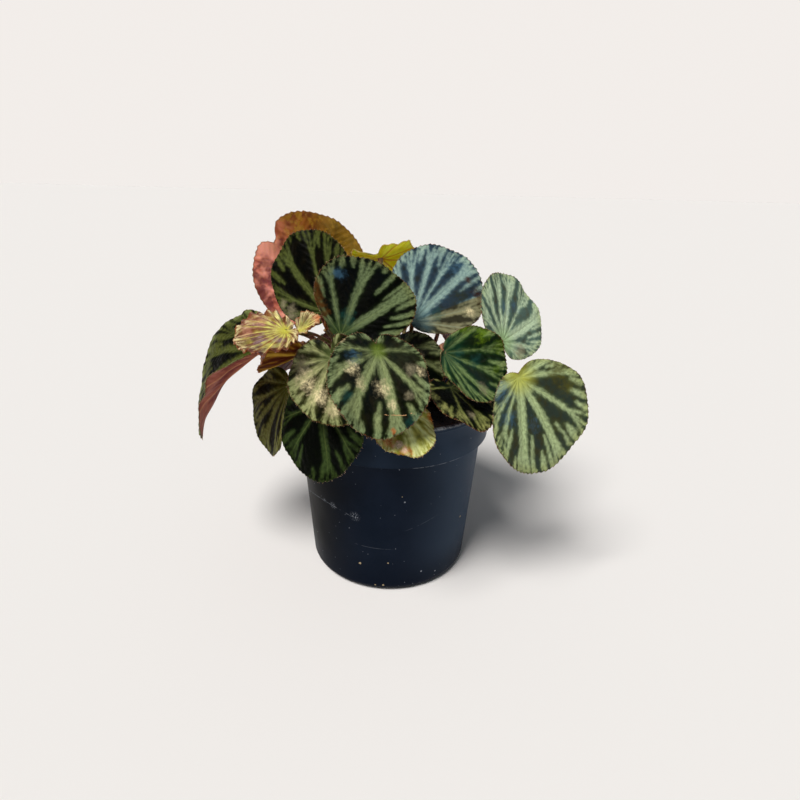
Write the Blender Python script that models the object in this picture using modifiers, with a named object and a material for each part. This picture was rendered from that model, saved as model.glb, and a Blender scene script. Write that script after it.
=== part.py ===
"""Potted begonia: a young rhizome begonia with round banded leaves, in a dark plastic nursery pot.

The frame is metres, +Z up, with the origin under the middle of the pot, on the surface that it stands on.
The open front of the plant faces -Y.
"""

import math

import bmesh
import bpy
from mathutils import Euler, Vector
from mathutils.geometry import interpolate_bezier

MM = 0.001
SEAT_GAP = 0.3 * MM  # left between pieces that touch

# The pot, a 12 cm nursery pot.
RIM_RADIUS = 60.0 * MM
POT_HEIGHT = 109.3 * MM
LIP_WIDTH = 2.2 * MM
LIP_HEIGHT = 2.0 * MM
EDGE_ROUND = 0.5 * MM
COLLAR_FOOT = 87.8 * MM
COLLAR_RADIUS = 58.7 * MM
WALL_TOP_RADIUS = 55.1 * MM
BASE_RADIUS = 49.0 * MM
BASE_CORNER = 5.0 * MM
CORNER_STEPS = 4
POT_WALL = 1.3 * MM
FOOT_RING_INNER = 41.0 * MM
FOOT_HEIGHT = 3.0 * MM
PAD_RADIUS = 14.0 * MM  # of the round flat in the middle of the base
PAD_STEP = 1.0 * MM
WALL_FOOT = 8.0 * MM  # height at which the pot's inner wall starts to rise straight
POT_SIDES = 48
DRAIN_COUNT = 8
DRAIN_RING = 30.0 * MM
DRAIN_RADIUS = 4.0 * MM
DRAIN_SIDES = 10
DRAIN_TURN = 0.4  # of a step between holes, for the first hole

# The soil and the rhizome that lies on it.
SOIL_TOP = 97.0 * MM
SOIL_DIP = 1.2 * MM
SOIL_RINGS = (12 * MM, 24 * MM, 36 * MM, 47 * MM)
SOIL_SIDES = 36
SOIL_SLACK = 0.1 * MM  # more room, because the pot's sides are flats
COLLAR_SLACK = 0.3 * MM
RHIZOME_RADIUS = 5.0 * MM
RHIZOME_POINTS = 25
RHIZOME_RINGS = 3
RHIZOME_HALF_LENGTH = 40.0 * MM
RHIZOME_BEND = 9.0 * MM
ROOT_RADIUS = 3.0 * MM
ROOT_DEPTH = 14.0 * MM
ROOT_SIDES = 12
WELD = 0.001 * MM  # points this near are one
NOTCH_WELD = 0.01 * MM

# What all the leaves share.
BLADE_THICKNESS = 0.8 * MM
BLADE_SIDES = 28
BLADE_RINGS = 3
NOTCH_DEPTH = 0.62
NOTCH_WIDTH = math.radians(9)
TIP_LENGTH = 0.05
TIP_WIDTH = math.radians(20)
TOOTH = 0.018
WAVE_TURN = 9.0  # sets where the edge's waves start, with the leaf's root
KEEL_ROUND = 3.0 * MM
NO_BEND = 0.001  # stands for a flat blade's bend, which mustn't be 0
BLADE_SEAT = 0.5 * MM
STALK_LEAN = 0.7
STALK_RISE = 0.7
STALK_PULL = 0.35  # length of the stalk's handles, as a share of its span
STALK_START_BOW = 0.25  # share of the bow that the stalk's foot takes
STALK_STEPS = 8
STALK_RINGS = 1

LEAF_GREEN = (0.08, 0.16, 0.06, 1)
YOUNG_YELLOW = (0.55, 0.50, 0.12, 1)
UNDERSIDE_RED = (0.38, 0.12, 0.09, 1)
OLD_ORANGE = (0.42, 0.22, 0.05, 1)
STALK_RED = (0.32, 0.10, 0.07, 1)


class Leaf:
    """One leaf: where its stalk meets its blade, how the blade is turned, and its form.

    at: the joint of stalk and blade, in mm.
    heading, slope, roll: the way the midrib points round the pot, its rise, and the blade's lean, in degrees.
    radius: of the round blade, in mm. reach: from the stalk to its middle, as a share of the radius.
    skew: the middle's shift to the left of the midrib. droop and arch: bend along and across, degrees per cm.
    fold: rise of the halves from the midrib. wave: height of the edge's waves in mm, with their count.
    root: the place along the rhizome, from -1 to 1, that the stalk grows from.
    side: 1 where it leaves the rhizome's front, -1 where it leaves the back.
    bow: how far the stalk's middle is drawn aside, in mm. stalk: the stalk's radius, in mm.
    dent: a gap in the edge: its angle round the blade, its depth as a share of the radius, and its half width.
    crease: a bend along a line from the stalk: the line's angle, and how steeply the blade rises to its right.
    arrive: the way the stalk runs where it meets the blade, where that isn't between outward and up.
    """

    def __init__(self, at, heading, slope, roll, radius, reach=0.75, skew=0.0, droop=4.0, arch=2.0, fold=0.0,
                 wave=0.9, waves=6, root=0.0, side=1, bow=(0, 0, 0), arrive=None, stalk=1.5, dent=(0, 0, 1),
                 crease=(0, 0), colour=LEAF_GREEN):
        self.at = Vector(at) * MM
        self.turn = Euler((math.radians(-roll), math.radians(-slope), math.radians(heading)))
        self.radius = radius * MM
        self.reach = reach
        self.skew = skew
        self.droop = math.radians(droop) / (10 * MM)
        self.arch = math.radians(arch) / (10 * MM)
        self.fold = fold
        self.wave = wave * MM
        self.waves = waves
        self.root = root
        self.side = side
        self.bow = Vector(bow) * MM
        self.arrive = Vector(arrive or self.outward() + Vector((0, 0, STALK_RISE))).normalized()
        self.stalk = stalk * MM
        self.dent = (math.radians(dent[0]), dent[1], math.radians(dent[2]))
        self.crease = (math.radians(crease[0]), crease[1])
        self.colour = colour

    def edge(self, turn):
        """The blade's edge in its own plane, at an angle round its middle. The notch is behind, at half a turn."""
        from_notch = math.pi - abs(turn)
        notch = 1 - NOTCH_DEPTH * math.exp(-((from_notch / NOTCH_WIDTH) ** 2))
        place, depth, width = self.dent
        size = self.radius * notch * (1 - depth * math.exp(-(((turn - place) / width) ** 2)))
        tip = 1 + TIP_LENGTH * math.exp(-((turn / TIP_WIDTH) ** 2))
        return (self.reach + math.cos(turn) * tip) * size, (self.skew + math.sin(turn)) * size

    def surface(self, along, across):
        """The bent blade's point over one point of its plane."""
        droop = self.droop or NO_BEND
        arch = self.arch or NO_BEND
        line, lift = self.crease
        beyond = max(0, along * math.sin(line) - across * math.cos(line))
        rise = self.fold * (math.hypot(across, KEEL_ROUND) - KEEL_ROUND)
        rise += lift * (math.hypot(beyond, KEEL_ROUND) - KEEL_ROUND)
        rise -= (1 - math.cos(droop * along)) / droop
        rise -= (1 - math.cos(arch * across)) / arch
        return Vector((math.sin(droop * along) / droop, math.sin(arch * across) / arch, rise))

    def point(self, turn, share):
        """A point of the blade, at a share of the way from the stalk to the edge."""
        along, across = self.edge(turn)
        tooth = 1 + TOOTH * share * math.cos(turn * BLADE_SIDES / 2)
        bent = self.surface(along * share * tooth, across * share * tooth)
        bent.z += self.wave * share**3 * math.sin(turn * self.waves + self.root * WAVE_TURN)
        return bent

    def outward(self):
        """The way the upper face looks at the stalk."""
        return self.turn.to_matrix() @ Vector((0, 0, 1))


# The leaves. Those that grow from the front side of the rhizome come first, each side from left to right.
LEAVES = {
    "folded": Leaf((-70, -20, 139), 185, -30, 5, 41, 0.8, -0.25, 6, 0, 0.45, root=-1,
                   bow=(0, 8, 4), arrive=(-0.5, -0.8, 0.3), dent=(60, 0.3, 45), crease=(45, -0.1)),
    "low_left": Leaf((-59, -13, 116), 205, -65, 5, 26, 0.75, -0.25, 4.5, 0, 0.2, root=-0.85),
    "old_curled": Leaf((-44, -42, 145), 195, -25, -10, 14, 0.75, 0, -1.5, 0, 0.8, root=-0.7,
                       colour=OLD_ORANGE),
    "new_leaf": Leaf((-46, -44, 156), 10, 35, -30, 6.5, 0.85, 0, 4, 0, 0.7, wave=0.5, waves=5, root=-0.5,
                     bow=(10, 17, 12), stalk=1, colour=YOUNG_YELLOW),
    "young": Leaf((-52, -48, 157), 205, -5, 25, 15, 0.6, 0, 4.5, 0, 0.15, wave=1, waves=9, root=-0.6,
                  bow=(4, 14, 16), arrive=(-0.4, -0.4, 0.8), colour=YOUNG_YELLOW),
    "low_front": Leaf((-36, -46, 118), 280, -65, -40, 26.5, 0.45, -0.05, 0, 2.5, 0.05, root=-0.35),
    "middle_left": Leaf((-29, -53, 145), 295, -65, -40, 22, 0.45, -0.05, 1, -0.5, 0.2, root=-0.2),
    "crown": Leaf((-26, -40, 153), 45, 40, -40, 26.5, 0.9, 0.05, 4.5, -0.5, 0.25, root=-0.05,
                  dent=(155, 0.35, 20)),
    "front": Leaf((-7, -63, 152), 285, -50, 10, 25, 0.6, -0.05, 4, 1, 0.15, root=0.1, bow=(-11, 0, -5)),
    "burnt": Leaf((3, -57, 122), 290, -35, 10, 18.5, 0.5, 0, 0, 4, -0.05, root=0.3),
    "middle_dark": Leaf((3, -24, 140), 350, -25, -55, 17.5, 0.6, -0.05, 4.5, 2.5, 0, root=0.45),
    "low_right": Leaf((31, -36, 125), 300, -15, 5, 20, 0.6, 0, 4, 1, 0.15, root=0.6),
    "middle_right": Leaf((26, -42, 146), 15, -35, -55, 20, 0.85, 0.05, -3.5, -1.5, 0.45, root=0.75,
                         bow=(18, 4, 0)),
    "hanging_right": Leaf((63, -50, 136), 340, -60, -45, 29.5, 0.8, 0.05, 3.5, 0.5, 0.2, root=0.95,
                          bow=(14, 0, 0)),
    "side_left": Leaf((-52, 24, 130), 160, -40, 0, 23, 0.65, 0, 4, 2, 0.1, root=-1, side=-1),
    "back_left": Leaf((-28, 52, 129), 110, -40, 0, 25, 0.65, 0, 4, 1.5, 0.15, root=-0.8, side=-1),
    "tall_back": Leaf((-47, 32, 158), 130, 60, -145, 35.5, 0.5, 0, 1.5, 0, 0.1, root=-0.65, side=-1,
                      dent=(-30, 0.15, 8), colour=UNDERSIDE_RED),
    "high_left": Leaf((-37, -9, 158), 150, 55, 80, 26, 0.8, 0, 3.5, 1.5, 0, root=-0.45, side=-1),
    "dry_bud": Leaf((-34, -31, 154), 195, 65, 0, 4, 0.9, 0, 0, 0, 0.8, wave=0.3, waves=4, root=-0.3,
                    bow=(2, 8, 0), arrive=(-0.5, -0.1, 1), stalk=1, colour=OLD_ORANGE),
    "low_back": Leaf((6, 54, 126), 85, -50, 5, 24, 0.6, 0, 3, 2, 0.1, root=-0.1, side=-1),
    "pale_back": Leaf((-8, 15, 185), 65, -25, 15, 21.5, 0.55, 0, 3, 0, 0.45, root=0.05, side=-1,
                      dent=(-95, 0.2, 30), colour=YOUNG_YELLOW),
    "high_back": Leaf((10, 44, 156), 80, -10, 0, 26, 0.65, 0, 4, 2, 0.15, root=0.2, side=-1),
    "high_right": Leaf((11, -10, 154), 35, 40, -50, 28, 0.9, 0.05, 3.5, 1, 0, root=0.35, side=-1,
                       crease=(-25, 0.25)),
    "back_right": Leaf((42, 44, 136), 45, -40, 0, 26, 0.65, 0, 4, 1.5, 0.15, root=0.55, side=-1),
    "inner_right": Leaf((28, 18, 146), 70, 5, 0, 22, 0.6, 0, 4, 2, 0.15, root=0.45, side=-1),
    "old_small": Leaf((29, -18, 136), 60, 50, -40, 5.5, 0.6, 0, 4, 2, 0.1, wave=0.5, waves=5, root=0.65,
                      side=-1, stalk=1, colour=OLD_ORANGE),
    "right_back": Leaf((64, 0, 141), 65, 45, -55, 27, 0.7, -0.05, 3, 0.5, 0.1, root=0.8, side=-1),
    "side_right": Leaf((58, 22, 118), 15, -50, 0, 24, 0.6, 0, 3, 2, 0.1, root=0.95, side=-1),
}


def clear_scene():
    for obj in list(bpy.data.objects):
        bpy.data.objects.remove(obj)


def new_collection(name):
    collection = bpy.data.collections.new(name)
    bpy.context.scene.collection.children.link(collection)
    return collection


def plain_material(name, colour, roughness):
    material = bpy.data.materials.new(name)
    material.use_nodes = True
    shader = material.node_tree.nodes["Principled BSDF"]
    shader.inputs["Base Color"].default_value = colour
    shader.inputs["Roughness"].default_value = roughness
    shader.inputs["Metallic"].default_value = 0.0
    return material


def add_mesh(name, mesh, collection, material):
    obj = bpy.data.objects.new(name, mesh)
    collection.objects.link(obj)
    mesh.materials.append(material)
    return obj


def turned(name, profile, sides, collection, material):
    """A turned piece: a half profile, outer side from top to bottom, swept round Z."""
    mesh = bpy.data.meshes.new(name)
    form = bmesh.new()
    points = [form.verts.new((radius, 0, height)) for radius, height in profile]
    for first, second in zip(points, points[1:]):
        form.edges.new((first, second))
    form.to_mesh(mesh)
    form.free()
    obj = add_mesh(name, mesh, collection, material)
    sweep = obj.modifiers.new("sweep", "SCREW")
    sweep.steps = sides
    sweep.render_steps = sides
    sweep.use_merge_vertices = True
    sweep.merge_threshold = 0.0001
    return obj


def corner(centre_radius, centre_height, radius, start, end, steps):
    """Points of a round corner in a profile, from one angle to another, in degrees."""
    turns = [math.radians(start + (end - start) * step / steps) for step in range(steps + 1)]
    return [(centre_radius + radius * math.cos(turn), centre_height + radius * math.sin(turn)) for turn in turns]


def wall_radius(height):
    """The pot wall's outer radius at a height."""
    return BASE_RADIUS + (WALL_TOP_RADIUS - BASE_RADIUS) * height / COLLAR_FOOT


def add_pot(collection, cutters):
    material = plain_material("pot_plastic", (0.014, 0.018, 0.026, 1), 0.45)
    lip_inner = RIM_RADIUS - LIP_WIDTH
    collar_top = RIM_RADIUS - EDGE_ROUND
    ledge = COLLAR_FOOT + POT_WALL
    corner_radius = wall_radius(BASE_CORNER) - BASE_CORNER
    floor_top = FOOT_HEIGHT + POT_WALL
    profile = [(0, POT_WALL), (PAD_RADIUS - PAD_STEP, POT_WALL), (PAD_RADIUS, floor_top)]
    profile += [(corner_radius, floor_top), (wall_radius(WALL_FOOT) - POT_WALL, WALL_FOOT)]
    profile += [(WALL_TOP_RADIUS - POT_WALL, ledge - EDGE_ROUND)]
    profile += [(COLLAR_RADIUS - POT_WALL - EDGE_ROUND, ledge), (lip_inner, POT_HEIGHT - LIP_HEIGHT - EDGE_ROUND)]
    profile += [(lip_inner, POT_HEIGHT), (RIM_RADIUS - EDGE_ROUND, POT_HEIGHT)]
    profile += [(RIM_RADIUS, POT_HEIGHT - EDGE_ROUND), (RIM_RADIUS, POT_HEIGHT - LIP_HEIGHT)]
    profile += [(collar_top, POT_HEIGHT - LIP_HEIGHT - EDGE_ROUND), (COLLAR_RADIUS, COLLAR_FOOT + EDGE_ROUND)]
    profile += [(COLLAR_RADIUS - EDGE_ROUND, COLLAR_FOOT), (WALL_TOP_RADIUS, COLLAR_FOOT - EDGE_ROUND)]
    profile += corner(corner_radius, BASE_CORNER, BASE_CORNER, 0, -90, CORNER_STEPS)
    profile += [(FOOT_RING_INNER + EDGE_ROUND, 0), (FOOT_RING_INNER, FOOT_HEIGHT)]
    profile += [(PAD_RADIUS + PAD_STEP, FOOT_HEIGHT), (PAD_RADIUS, 0), (0, 0)]
    pot = turned("pot", profile, POT_SIDES, collection, material)
    for index in range(DRAIN_COUNT):
        turn = 2 * math.pi * (index + DRAIN_TURN) / DRAIN_COUNT
        add_drain(pot, cutters, DRAIN_RING * math.cos(turn), DRAIN_RING * math.sin(turn))


def bar(name, radius, height, centre, sides, collection):
    """A hidden upright round bar, to cut with or to join on."""
    mesh = bpy.data.meshes.new(name)
    form = bmesh.new()
    bmesh.ops.create_cone(form, cap_ends=True, segments=sides, radius1=radius, radius2=radius, depth=height)
    form.to_mesh(mesh)
    form.free()
    obj = bpy.data.objects.new(name, mesh)
    collection.objects.link(obj)
    obj.location = centre
    obj.hide_render = True
    obj.display_type = "WIRE"
    return obj


def add_drain(pot, cutters, x, y):
    """One round drain hole through the pot's floor."""
    cut = pot.modifiers.new("drain", "BOOLEAN")
    cut.operation = "DIFFERENCE"
    cut.object = bar("drain_cutter", DRAIN_RADIUS, 4 * FOOT_HEIGHT, (x, y, FOOT_HEIGHT), DRAIN_SIDES, cutters)


def add_soil(collection):
    """The potting mix: it fills the pot to just under the rim, with a plain hole for the root."""
    material = plain_material("potting_mix", (0.022, 0.014, 0.010, 1), 0.95)
    hole = ROOT_RADIUS + SEAT_GAP
    inset = POT_WALL + SEAT_GAP + SOIL_SLACK
    floor = FOOT_HEIGHT + POT_WALL + SEAT_GAP
    corner_radius = wall_radius(BASE_CORNER) - BASE_CORNER
    edge = COLLAR_RADIUS - inset - COLLAR_SLACK
    step = COLLAR_FOOT + POT_WALL + SEAT_GAP
    profile = [(0, SOIL_TOP - ROOT_DEPTH), (hole, SOIL_TOP - ROOT_DEPTH), (hole, SOIL_TOP)]
    profile += [(ring, SOIL_TOP) for ring in SOIL_RINGS]
    profile += [(edge, SOIL_TOP - SOIL_DIP), (edge, step), (WALL_TOP_RADIUS - inset, step - SEAT_GAP)]
    profile += [(wall_radius(WALL_FOOT) - inset, WALL_FOOT), (corner_radius, floor), (PAD_RADIUS - SEAT_GAP, floor)]
    profile += [(PAD_RADIUS - PAD_STEP - SEAT_GAP, POT_WALL + SEAT_GAP), (0, POT_WALL + SEAT_GAP)]
    turned("soil", profile, SOIL_SIDES, collection, material)


def rhizome_point(share):
    """A point of the rhizome's middle line, from its one growing end at -1 to the other at 1."""
    return Vector((RHIZOME_HALF_LENGTH * share, RHIZOME_BEND * math.sin(math.pi * share),
                   SOIL_TOP + SEAT_GAP + RHIZOME_RADIUS))


def tube(name, points, radius, collection, material, rings):
    """A tube along points, with flat ends."""
    curve = bpy.data.curves.new(name, "CURVE")
    curve.dimensions = "3D"
    curve.bevel_depth = radius
    curve.bevel_resolution = rings
    curve.use_fill_caps = True
    spline = curve.splines.new("POLY")
    spline.points.add(len(points) - 1)
    for place, point in zip(spline.points, points):
        place.co = (*point, 1)
    curve.materials.append(material)
    obj = bpy.data.objects.new(name, curve)
    collection.objects.link(obj)
    return obj


def as_mesh(obj, collection):
    """A mesh copy of a curve object, with its caps welded on. The curve is removed."""
    graph = bpy.context.evaluated_depsgraph_get()
    mesh = bpy.data.meshes.new_from_object(obj.evaluated_get(graph))
    form = bmesh.new()
    form.from_mesh(mesh)
    bmesh.ops.remove_doubles(form, verts=form.verts, dist=WELD)
    form.to_mesh(mesh)
    form.free()
    name, world = obj.name, obj.matrix_world.copy()
    bpy.data.objects.remove(obj)
    made = bpy.data.objects.new(name, mesh)
    made.matrix_world = world
    collection.objects.link(made)
    return made


def add_rhizome(collection, cutters):
    """The creeping rhizome that all the stalks grow from, with its root down in the soil."""
    material = plain_material("rhizome_skin", (0.16, 0.09, 0.05, 1), 0.8)
    shares = [-1 + 2 * index / (RHIZOME_POINTS - 1) for index in range(RHIZOME_POINTS)]
    points = [rhizome_point(share) for share in shares]
    body = as_mesh(tube("rhizome", points, RHIZOME_RADIUS, collection, material, RHIZOME_RINGS), collection)
    top = SOIL_TOP + RHIZOME_RADIUS
    bottom = SOIL_TOP - ROOT_DEPTH + SEAT_GAP
    join = body.modifiers.new("root", "BOOLEAN")
    join.operation = "UNION"
    middle = (top + bottom) / 2
    join.object = bar("root_joiner", ROOT_RADIUS, top - bottom, (0, 0, middle), ROOT_SIDES, cutters)


def add_blade(name, leaf, collection):
    """A leaf's blade: a round sheet, notched at the stalk, bent to its form and given its thickness."""
    form = bmesh.new()
    bmesh.ops.create_grid(form, x_segments=BLADE_RINGS, y_segments=BLADE_SIDES, size=1)
    for vert in form.verts:
        share = (vert.co.x + 1) / 2
        turn = vert.co.y * math.pi
        vert.co = leaf.point(turn, share)
    bmesh.ops.remove_doubles(form, verts=form.verts, dist=NOTCH_WELD)
    bmesh.ops.triangulate(form, faces=form.faces)
    bmesh.ops.recalc_face_normals(form, faces=form.faces)
    mesh = bpy.data.meshes.new(name)
    form.to_mesh(mesh)
    form.free()
    material = plain_material(name + "_skin", leaf.colour, 0.4)
    blade = add_mesh("leaf_" + name, mesh, collection, material)
    blade.location = leaf.at
    blade.rotation_euler = leaf.turn
    thick = blade.modifiers.new("thickness", "SOLIDIFY")
    thick.thickness = BLADE_THICKNESS
    thick.offset = 0
    mesh.shade_smooth()


def rhizome_aside(share):
    """The level direction straight out of the rhizome's front side."""
    ahead = rhizome_point(share + 0.01) - rhizome_point(share - 0.01)
    return Vector((ahead.y, -ahead.x, 0)).normalized()


def stalk_points(leaf):
    """The stalk's middle line, from the rhizome's skin to the underside of the blade."""
    start_way = (Vector((0, 0, 1)) + rhizome_aside(leaf.root) * leaf.side * STALK_LEAN).normalized()
    start = rhizome_point(leaf.root) + start_way * (RHIZOME_RADIUS + SEAT_GAP)
    upper = leaf.outward()
    tilt = math.sqrt(max(0, 1 - leaf.arrive.dot(upper) ** 2))
    end = leaf.at - upper * (BLADE_THICKNESS / 2 + BLADE_SEAT + leaf.stalk * tilt)
    length = (end - start).length
    first = start + start_way * length * STALK_PULL + leaf.bow * STALK_START_BOW
    second = end - leaf.arrive * length * STALK_PULL + leaf.bow
    return interpolate_bezier(start, first, second, end, STALK_STEPS)


def add_stalk(name, leaf, collection, material):
    tube("stalk_" + name, stalk_points(leaf), leaf.stalk, collection, material, STALK_RINGS)


def build():
    clear_scene()
    plant = new_collection("potted_begonia")
    cutters = new_collection("cutters")
    add_pot(plant, cutters)
    add_soil(plant)
    add_rhizome(plant, cutters)
    stalk_skin = plain_material("stalk_skin", STALK_RED, 0.6)
    for name, leaf in LEAVES.items():
        add_blade(name, leaf, plant)
        add_stalk(name, leaf, plant, stalk_skin)


build()
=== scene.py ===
import math
import random

import bmesh
import bpy
import numpy as np
from mathutils import Euler, Matrix, Vector
from mathutils.geometry import interpolate_bezier


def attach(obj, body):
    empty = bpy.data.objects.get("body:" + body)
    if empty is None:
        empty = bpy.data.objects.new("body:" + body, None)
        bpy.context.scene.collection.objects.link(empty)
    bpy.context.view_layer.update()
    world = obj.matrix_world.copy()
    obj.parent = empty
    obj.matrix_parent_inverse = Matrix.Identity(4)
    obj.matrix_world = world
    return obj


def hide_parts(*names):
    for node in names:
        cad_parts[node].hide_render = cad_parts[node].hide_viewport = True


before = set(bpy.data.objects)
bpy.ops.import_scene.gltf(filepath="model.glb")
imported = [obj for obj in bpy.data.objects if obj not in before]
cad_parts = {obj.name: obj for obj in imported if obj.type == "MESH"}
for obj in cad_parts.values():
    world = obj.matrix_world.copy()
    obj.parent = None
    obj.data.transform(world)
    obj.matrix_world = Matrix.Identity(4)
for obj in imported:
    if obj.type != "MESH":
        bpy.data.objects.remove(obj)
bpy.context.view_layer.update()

mm = 0.001
fullTurn = 2 * math.pi


# Small helpers for colours, nodes and meshes

def tone(red, green, blue):  # screen values 0-255 to Blender's linear colour
    return tuple((v / 255) ** 2.2 for v in (red, green, blue)) + (1.0,)


fixedSockets = {
    "roughness": "Roughness", "gloss": "Specular IOR Level", "through": "Subsurface Weight",
    "throughReach": "Subsurface Radius", "throughScale": "Subsurface Scale",
}


def newMaterial(name, **fixed):  # what is the same all over stands on the shader's own sockets
    material = bpy.data.materials.new(name)
    material.use_nodes = True
    tree = material.node_tree
    shader = tree.nodes["Principled BSDF"]
    for key, value in fixed.items():
        shader.inputs[fixedSockets[key]].default_value = value
    return material, tree, shader


def feed(socket, value):
    if isinstance(value, bpy.types.NodeSocket):
        socket.id_data.links.new(value, socket)
    else:
        socket.default_value = value


def addNode(tree, kind, inputs, **settings):
    made = tree.nodes.new(kind)
    for key, value in settings.items():
        setattr(made, key, value)
    for key, value in inputs.items():
        feed(made.inputs[key], value)
    return made


def calc(operation, first, second=0.0):
    return addNode(first.id_data, "ShaderNodeMath", {0: first, 1: second}, operation=operation).outputs[0]


def times(first, second):
    return calc("MULTIPLY", first, second)


def plus(first, second):
    return calc("ADD", first, second)


def minus(first, second):
    return calc("SUBTRACT", first, second)


def absolute(value):
    return calc("ABSOLUTE", value)


def ramp(value, low, high, outLow=0.0, outHigh=1.0):  # smooth step from low to high
    inputs = {"Value": value, "From Min": low, "From Max": high, "To Min": outLow, "To Max": outHigh}
    return addNode(value.id_data, "ShaderNodeMapRange", inputs, interpolation_type="SMOOTHSTEP").outputs[0]


def blend(share, first, second):  # two colours
    inputs = {0: share, 6: first, 7: second}
    return addNode(share.id_data, "ShaderNodeMix", inputs, data_type="RGBA").outputs[2]


def noise(place, scale, detail=3.0, roughness=0.55):
    inputs = {"Vector": place, "Scale": scale, "Detail": detail, "Roughness": roughness}
    return addNode(place.id_data, "ShaderNodeTexNoise", inputs).outputs[0]


def centred(value, reach):  # a noise value as a signed amount
    return times(minus(value, 0.5), reach)


def placeMath(operation, place, other):
    return addNode(place.id_data, "ShaderNodeVectorMath", {0: place, 1: other}, operation=operation).outputs


def scaled(place, size):
    return placeMath("MULTIPLY", place, size)[0]


def distance(place, spot):
    return placeMath("DISTANCE", place, spot)[1]


def split(place):
    return addNode(place.id_data, "ShaderNodeSeparateXYZ", {0: place}).outputs


def objectPlace(tree):
    return addNode(tree, "ShaderNodeTexCoord", {}).outputs["Object"]


def reading(tree, name, output="Fac"):  # a value that the mesh carries
    return addNode(tree, "ShaderNodeAttribute", {}, attribute_name=name).outputs[output]


def bumped(shader, height, depth, strength=1.0, before=None):
    inputs = {"Height": height, "Distance": depth, "Strength": strength}
    if before is not None:
        inputs["Normal"] = before
    made = addNode(height.id_data, "ShaderNodeBump", inputs).outputs[0]
    feed(shader.inputs["Normal"], made)
    return made


def placed(name, data):  # a new object at the origin
    made = bpy.data.objects.new(name, data)
    bpy.context.scene.collection.objects.link(made)
    return made


def meshPiece(name, points, faces, materials, faceSlots=None, values=None, sharpAngle=50):
    mesh = bpy.data.meshes.new(name)
    mesh.from_pydata([tuple(point) for point in points], [], faces)
    for material in materials:
        mesh.materials.append(material)
    if faceSlots is not None:
        mesh.polygons.foreach_set("material_index", faceSlots)
    for key, data in (values or {}).items():
        flat = np.asarray(data, dtype=np.float32)
        kind, field = ("FLOAT_VECTOR", "vector") if flat.ndim == 2 else ("FLOAT", "value")
        mesh.attributes.new(key, kind, "POINT").data.foreach_set(field, flat.ravel())
    mesh.shade_smooth()
    mesh.set_sharp_from_angle(angle=math.radians(sharpAngle))
    return placed(name, mesh)


def circle(radius, count, start=0.0):  # even places round a circle
    turns = [fullTurn * (index + start) / count for index in range(count)]
    return [(radius * math.cos(turn), radius * math.sin(turn)) for turn in turns]


def bridge(first, second, count):  # faces between two rings of points
    pairs = [(step, (step + 1) % count) for step in range(count)]
    return [(first + one, second + one, second + other, first + other) for one, other in pairs]


def cap(middle, first, count):  # faces between a point and a ring
    return [(middle, first + step, first + (step + 1) % count) for step in range(count)]


def fit(piece, slotName, *nodes):
    if nodes:
        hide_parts(*nodes)
    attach(piece, "root")


# Camera, floor and light

view = {"place": (0, -0.298, 0.222), "pitch": 21.8, "yaw": 1.0, "roll": 1.5, "lens": 23.76}


def setCamera():
    pitch, yaw, roll = (math.radians(view[key]) for key in ("pitch", "yaw", "roll"))
    ahead = Vector((math.sin(yaw) * math.cos(pitch), math.cos(yaw) * math.cos(pitch), -math.sin(pitch)))
    right = Vector((math.cos(yaw), -math.sin(yaw), 0))
    up = right.cross(ahead)
    side = right * math.cos(roll) + up * math.sin(roll)
    top = up * math.cos(roll) - right * math.sin(roll)
    lens = bpy.data.cameras.new("camera")
    lens.lens = view["lens"]
    lens.clip_start = 0.01
    camera = placed("camera", lens)
    turn = Matrix((side, top, -ahead)).transposed().to_4x4()
    camera.matrix_world = Matrix.Translation(view["place"]) @ turn
    bpy.context.scene.camera = camera


studio = {
    "backdrop": tone(242, 237, 233), "fill": 0.16, "fillColour": (0.90, 0.96, 1.0, 1.0),
    "sun": 3.3, "sunFrom": (-0.42, -0.50, 1.0), "sunWidth": 26, "sunColour": (1.0, 0.975, 0.94),
    "floor": (0.86, 0.84, 0.83, 1.0), "floorSize": 60.0,
    "glint": 1.6, "glintFrom": (0.50, -0.45, 0.72), "glintWidth": 16, "glintColour": (1.0, 0.88, 0.70),
    "sky": 1.2, "skyFrom": (0.80, 0.0, 0.65), "skyWidth": 50, "skyColour": (0.45, 0.70, 1.0),
}


def addSun(name):
    light = bpy.data.lights.new(name, "SUN")
    light.energy = studio[name]
    light.color = studio[name + "Colour"]
    light.angle = math.radians(studio[name + "Width"])
    lamp = placed(name, light)
    lamp.rotation_euler = (-Vector(studio[name + "From"])).to_track_quat("-Z", "Y").to_euler()
    return lamp


def setStudio():
    world = bpy.data.worlds.new("studio")
    world.use_nodes = True
    tree = world.node_tree
    background = tree.nodes["Background"]
    seen = addNode(tree, "ShaderNodeLightPath", {}).outputs["Is Camera Ray"]
    feed(background.inputs["Color"], blend(seen, studio["fillColour"], studio["backdrop"]))
    feed(background.inputs["Strength"], ramp(seen, 0.0, 1.0, studio["fill"], 1.0))
    bpy.context.scene.world = world
    bpy.context.scene.view_settings.view_transform = "Standard"

    half = studio["floorSize"] / 2
    points = [(-half, -half, 0), (half, -half, 0), (half, half, 0), (-half, half, 0)]
    material, _, shader = newMaterial("floorPaint", roughness=1.0, gloss=0.0)
    shader.inputs["Base Color"].default_value = studio["floor"]
    meshPiece("floor", points, [(0, 1, 2, 3)], [material])

    addSun("sun")
    for name in ("glint", "sky"):
        addSun(name).visible_diffuse = False  # these two only shine in the gloss


setCamera()
setStudio()
print("camera, floor and light are set")


# Leaves: the same forms as the CAD leaves in model.glb, with finer edges, veins and markings

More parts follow.
